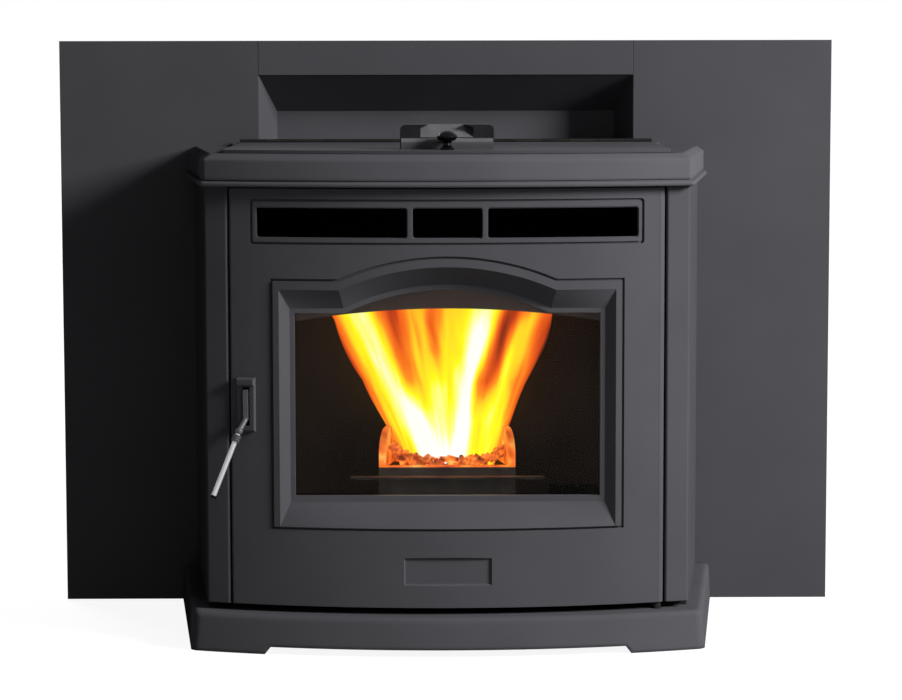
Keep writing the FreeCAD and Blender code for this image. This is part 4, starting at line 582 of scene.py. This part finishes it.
def build_embers():
    """Bed of short glowing pellets heaped in the pot, lower to the rear and higher in the corners."""
    chance = random.Random(5)
    vertices = []
    faces = []
    for _ in range(PELLETS):
        back = chance.uniform(0, 1)
        y = BED_FRONT + (BED_REAR - BED_FRONT) * back
        half = BED_HALF_FRONT + (BED_HALF_REAR - BED_HALF_FRONT) * (0.15 + 0.7 * back) - BED_INSET
        x = chance.uniform(-1, 1) * half
        z = BED_Z - BED_FALL * back + chance.uniform(0.0, BED_HEAP) + BED_CORNERS * (x / half) ** 4
        turn = Matrix.Rotation(chance.uniform(0, math.pi), 3, "Z")
        turn = turn @ Matrix.Rotation(chance.uniform(-PELLET_TILT, PELLET_TILT), 3, "Y")
        start = len(vertices)
        for end in (-PELLET_HALF, PELLET_HALF):
            for side in range(PELLET_SIDES):
                angle = 2 * math.pi * side / PELLET_SIDES
                rim = Vector((end, PELLET_RADIUS * math.cos(angle), PELLET_RADIUS * math.sin(angle)))
                vertices.append(turn @ rim + Vector((x, y, z)))
        far = start + PELLET_SIDES
        faces.append(tuple(start + side for side in reversed(range(PELLET_SIDES))))
        faces.append(tuple(far + side for side in range(PELLET_SIDES)))
        for side in range(PELLET_SIDES):
            after = (side + 1) % PELLET_SIDES
            faces.append((start + side, start + after, far + after, far + side))
    mesh_object("embers", vertices, faces, "insert", ember_material(), smooth=False)


# Colours of the firelight painted on the pot
FIRELIGHT_STOPS = ((0.30, (0.50, 0.05, 0.005)), (0.46, (0.95, 0.15, 0.008)), (0.58, (1.0, 0.26, 0.02)),
             (0.72, (1.0, 0.50, 0.10)))
FIRELIGHT_Z = pot_low[2] + 0.064
FIRELIGHT_UPWARD = 0.8
FIRELIGHT_FORWARD = -0.9
FIRELIGHT_STRENGTH = 1.25
LEDGE_HALF = 0.125
LEDGE_FIRELIGHT_STRENGTH = 0.14


def pot_firelight_material():
    """Iron with painted firelight: it glows where its inner walls and upper edges face the fire, with a
    painted pool of warm light on the ledge below.
    """
    material, tree, shader = new_principled("pot_painted_firelight")
    shader.inputs["Roughness"].default_value = 0.8
    tree.links.new(patches(tree, 60.0, IRON_COLOURS, detail=4.0), shader.inputs["Base Color"])
    place = on_object(tree, "Object")
    facing = on_object(tree, "Normal")
    x = axis_of(tree, place, "X")
    facing_up = axis_of(tree, facing, "Z")
    outward = number(tree, "MULTIPLY", number(tree, "SIGN", x), axis_of(tree, facing, "X"))
    inward = number(tree, "MULTIPLY", outward, -1.0)
    upward = number(tree, "MULTIPLY", facing_up, FIRELIGHT_UPWARD)
    forward = number(tree, "MULTIPLY", axis_of(tree, facing, "Y"), FIRELIGHT_FORWARD)
    inner = number(tree, "MAXIMUM", number(tree, "MAXIMUM", inward, upward),
                   number(tree, "MAXIMUM", forward, 0.0))
    high = number(tree, "GREATER_THAN", axis_of(tree, place, "Z"), FIRELIGHT_Z)
    strength = number(tree, "MULTIPLY", number(tree, "MULTIPLY", inner, high), FIRELIGHT_STRENGTH)
    aside = number(tree, "POWER", number(tree, "DIVIDE", x, LEDGE_HALF), 2.0)
    fading = number(tree, "MAXIMUM", number(tree, "SUBTRACT", 1.0, aside), 0.0)
    upper = number(tree, "MAXIMUM", facing_up, 0.0)
    ledge_firelight = number(tree, "MULTIPLY", number(tree, "MULTIPLY", upper, fading), LEDGE_FIRELIGHT_STRENGTH)
    glow = colour_ramp(tree, noise(tree, 60.0, 4.0), FIRELIGHT_STOPS)
    tree.links.new(glow, shader.inputs["Emission Color"])
    tree.links.new(number(tree, "MAXIMUM", strength, ledge_firelight), shader.inputs["Emission Strength"])
    return material


build_flame()
build_embers()
# The pot's glow is painted firelight
paint(nodes["burn_pot"], pot_firelight_material())


# Studio

FLOOR_NEAR_LIFT = 0.90
FLOOR_FAR_LIFT = 1.0
FLOOR_NEAR = 0.9
FLOOR_FAR = 2.6
FLOOR_HALF = 40.0
FLOOR_Z = -0.0005
FLOOR_COLOURS = ((0.16, 0.16, 0.16), (0.155, 0.155, 0.155))
ROOM_COLOUR = (0.92, 0.95, 1.0, 1)
ROOM_STRENGTH = 0.012


def seen_directly(tree):
    """1 for rays that show the background: from the camera, off gloss or through glass."""
    path = tree.nodes.new("ShaderNodeLightPath")
    seen = number(tree, "MAXIMUM", path.outputs["Is Camera Ray"], path.outputs["Is Glossy Ray"])
    return number(tree, "MAXIMUM", seen, path.outputs["Is Transmission Ray"])


def floor_material():
    """Pale paper floor that keeps a shadow near the object and fades to white away from it."""
    material, tree, shader = new_principled("floor_paper")
    shader.inputs["Roughness"].default_value = 0.9
    tree.links.new(patches(tree, 2.0, FLOOR_COLOURS), shader.inputs["Base Color"])
    shader.inputs["Emission Color"].default_value = WHITE
    reach = tree.nodes.new("ShaderNodeVectorMath")
    reach.operation = "LENGTH"
    tree.links.new(on_object(tree, "Object"), reach.inputs[0])
    lift = spread(tree, reach.outputs["Value"], FLOOR_NEAR_LIFT, FLOOR_FAR_LIFT, FLOOR_NEAR, FLOOR_FAR)
    shown = number(tree, "MULTIPLY", seen_directly(tree), lift)
    tree.links.new(shown, shader.inputs["Emission Strength"])
    return material


def build_floor():
    mesh = bpy.data.meshes.new("floor")
    corners = [(-FLOOR_HALF, -FLOOR_HALF, 0), (FLOOR_HALF, -FLOOR_HALF, 0), (FLOOR_HALF, FLOOR_HALF, 0),
               (-FLOOR_HALF, FLOOR_HALF, 0)]
    mesh.from_pydata(corners, [], [(0, 1, 2, 3)])
    floor = bpy.data.objects.new("floor", mesh)
    floor.location.z = FLOOR_Z
    bpy.context.scene.collection.objects.link(floor)
    paint(floor, floor_material())


def build_world():
    """White where it is seen, and a dim room as far as it gives light."""
    world = bpy.data.worlds.new("studio")
    bpy.context.scene.world = world
    world.use_nodes = True
    tree = world.node_tree
    tree.nodes.clear()
    output = tree.nodes.new("ShaderNodeOutputWorld")
    mix = tree.nodes.new("ShaderNodeMixShader")
    seen = tree.nodes.new("ShaderNodeBackground")
    seen.inputs["Color"].default_value = WHITE
    room = tree.nodes.new("ShaderNodeBackground")
    room.inputs["Color"].default_value = ROOM_COLOUR
    room.inputs["Strength"].default_value = ROOM_STRENGTH
    tree.links.new(seen_directly(tree), mix.inputs["Fac"])
    tree.links.new(room.outputs["Background"], mix.inputs[1])
    tree.links.new(seen.outputs["Background"], mix.inputs[2])
    tree.links.new(mix.outputs["Shader"], output.inputs["Surface"])


def area_light(name, place, target, size, watts):
    light = bpy.data.lights.new(name, "AREA")
    light.shape = "RECTANGLE"
    light.size, light.size_y = size
    light.energy = watts
    lamp = bpy.data.objects.new(name, light)
    lamp.location = place
    lamp.rotation_euler = (Vector(target) - Vector(place)).to_track_quat("-Z", "Y").to_euler()
    bpy.context.scene.collection.objects.link(lamp)


def build_camera():
    right = Vector((math.cos(CAMERA_YAW), -math.sin(CAMERA_YAW), 0))
    level = math.cos(CAMERA_PITCH)
    ahead = Vector((math.sin(CAMERA_YAW) * level, math.cos(CAMERA_YAW) * level, -math.sin(CAMERA_PITCH)))
    up = right.cross(ahead)
    turn = Matrix((right, up, -ahead)).transposed() @ Matrix.Rotation(CAMERA_ROLL, 3, "Z")
    data = bpy.data.cameras.new("camera")
    data.sensor_width = SENSOR_MM
    data.lens = FOCAL_PIXELS * SENSOR_MM / IMAGE_WIDTH
    camera = bpy.data.objects.new("camera", data)
    place = Matrix.Translation((CAMERA_X, surround_y - CAMERA_BEFORE_SURROUND, CAMERA_Z))
    camera.matrix_world = place @ turn.to_4x4()
    bpy.context.scene.collection.objects.link(camera)
    bpy.context.scene.camera = camera


build_floor()
build_world()
area_light("key", (2.50, -1.55, 1.65), (0.1, -0.1, 0.35), (0.9, 0.9), watts=135)
area_light("front", (0.7, -3.4, 1.3), (0.1, -0.2, 0.4), (1.8, 1.0), watts=4)
area_light("fill", (-2.6, -2.4, 1.5), (0.0, 0.0, 0.4), (1.6, 2.0), watts=0.5)
area_light("overhead", (0.2, -0.6, 3.0), (0.0, 0.0, 0.4), (2.4, 1.4), watts=3)
area_light("rear", (-2.2, 3.2, 2.0), (0.0, 0.2, 0.35), (1.6, 1.2), watts=50)
build_camera()

bpy.context.scene.view_settings.view_transform = "Standard"
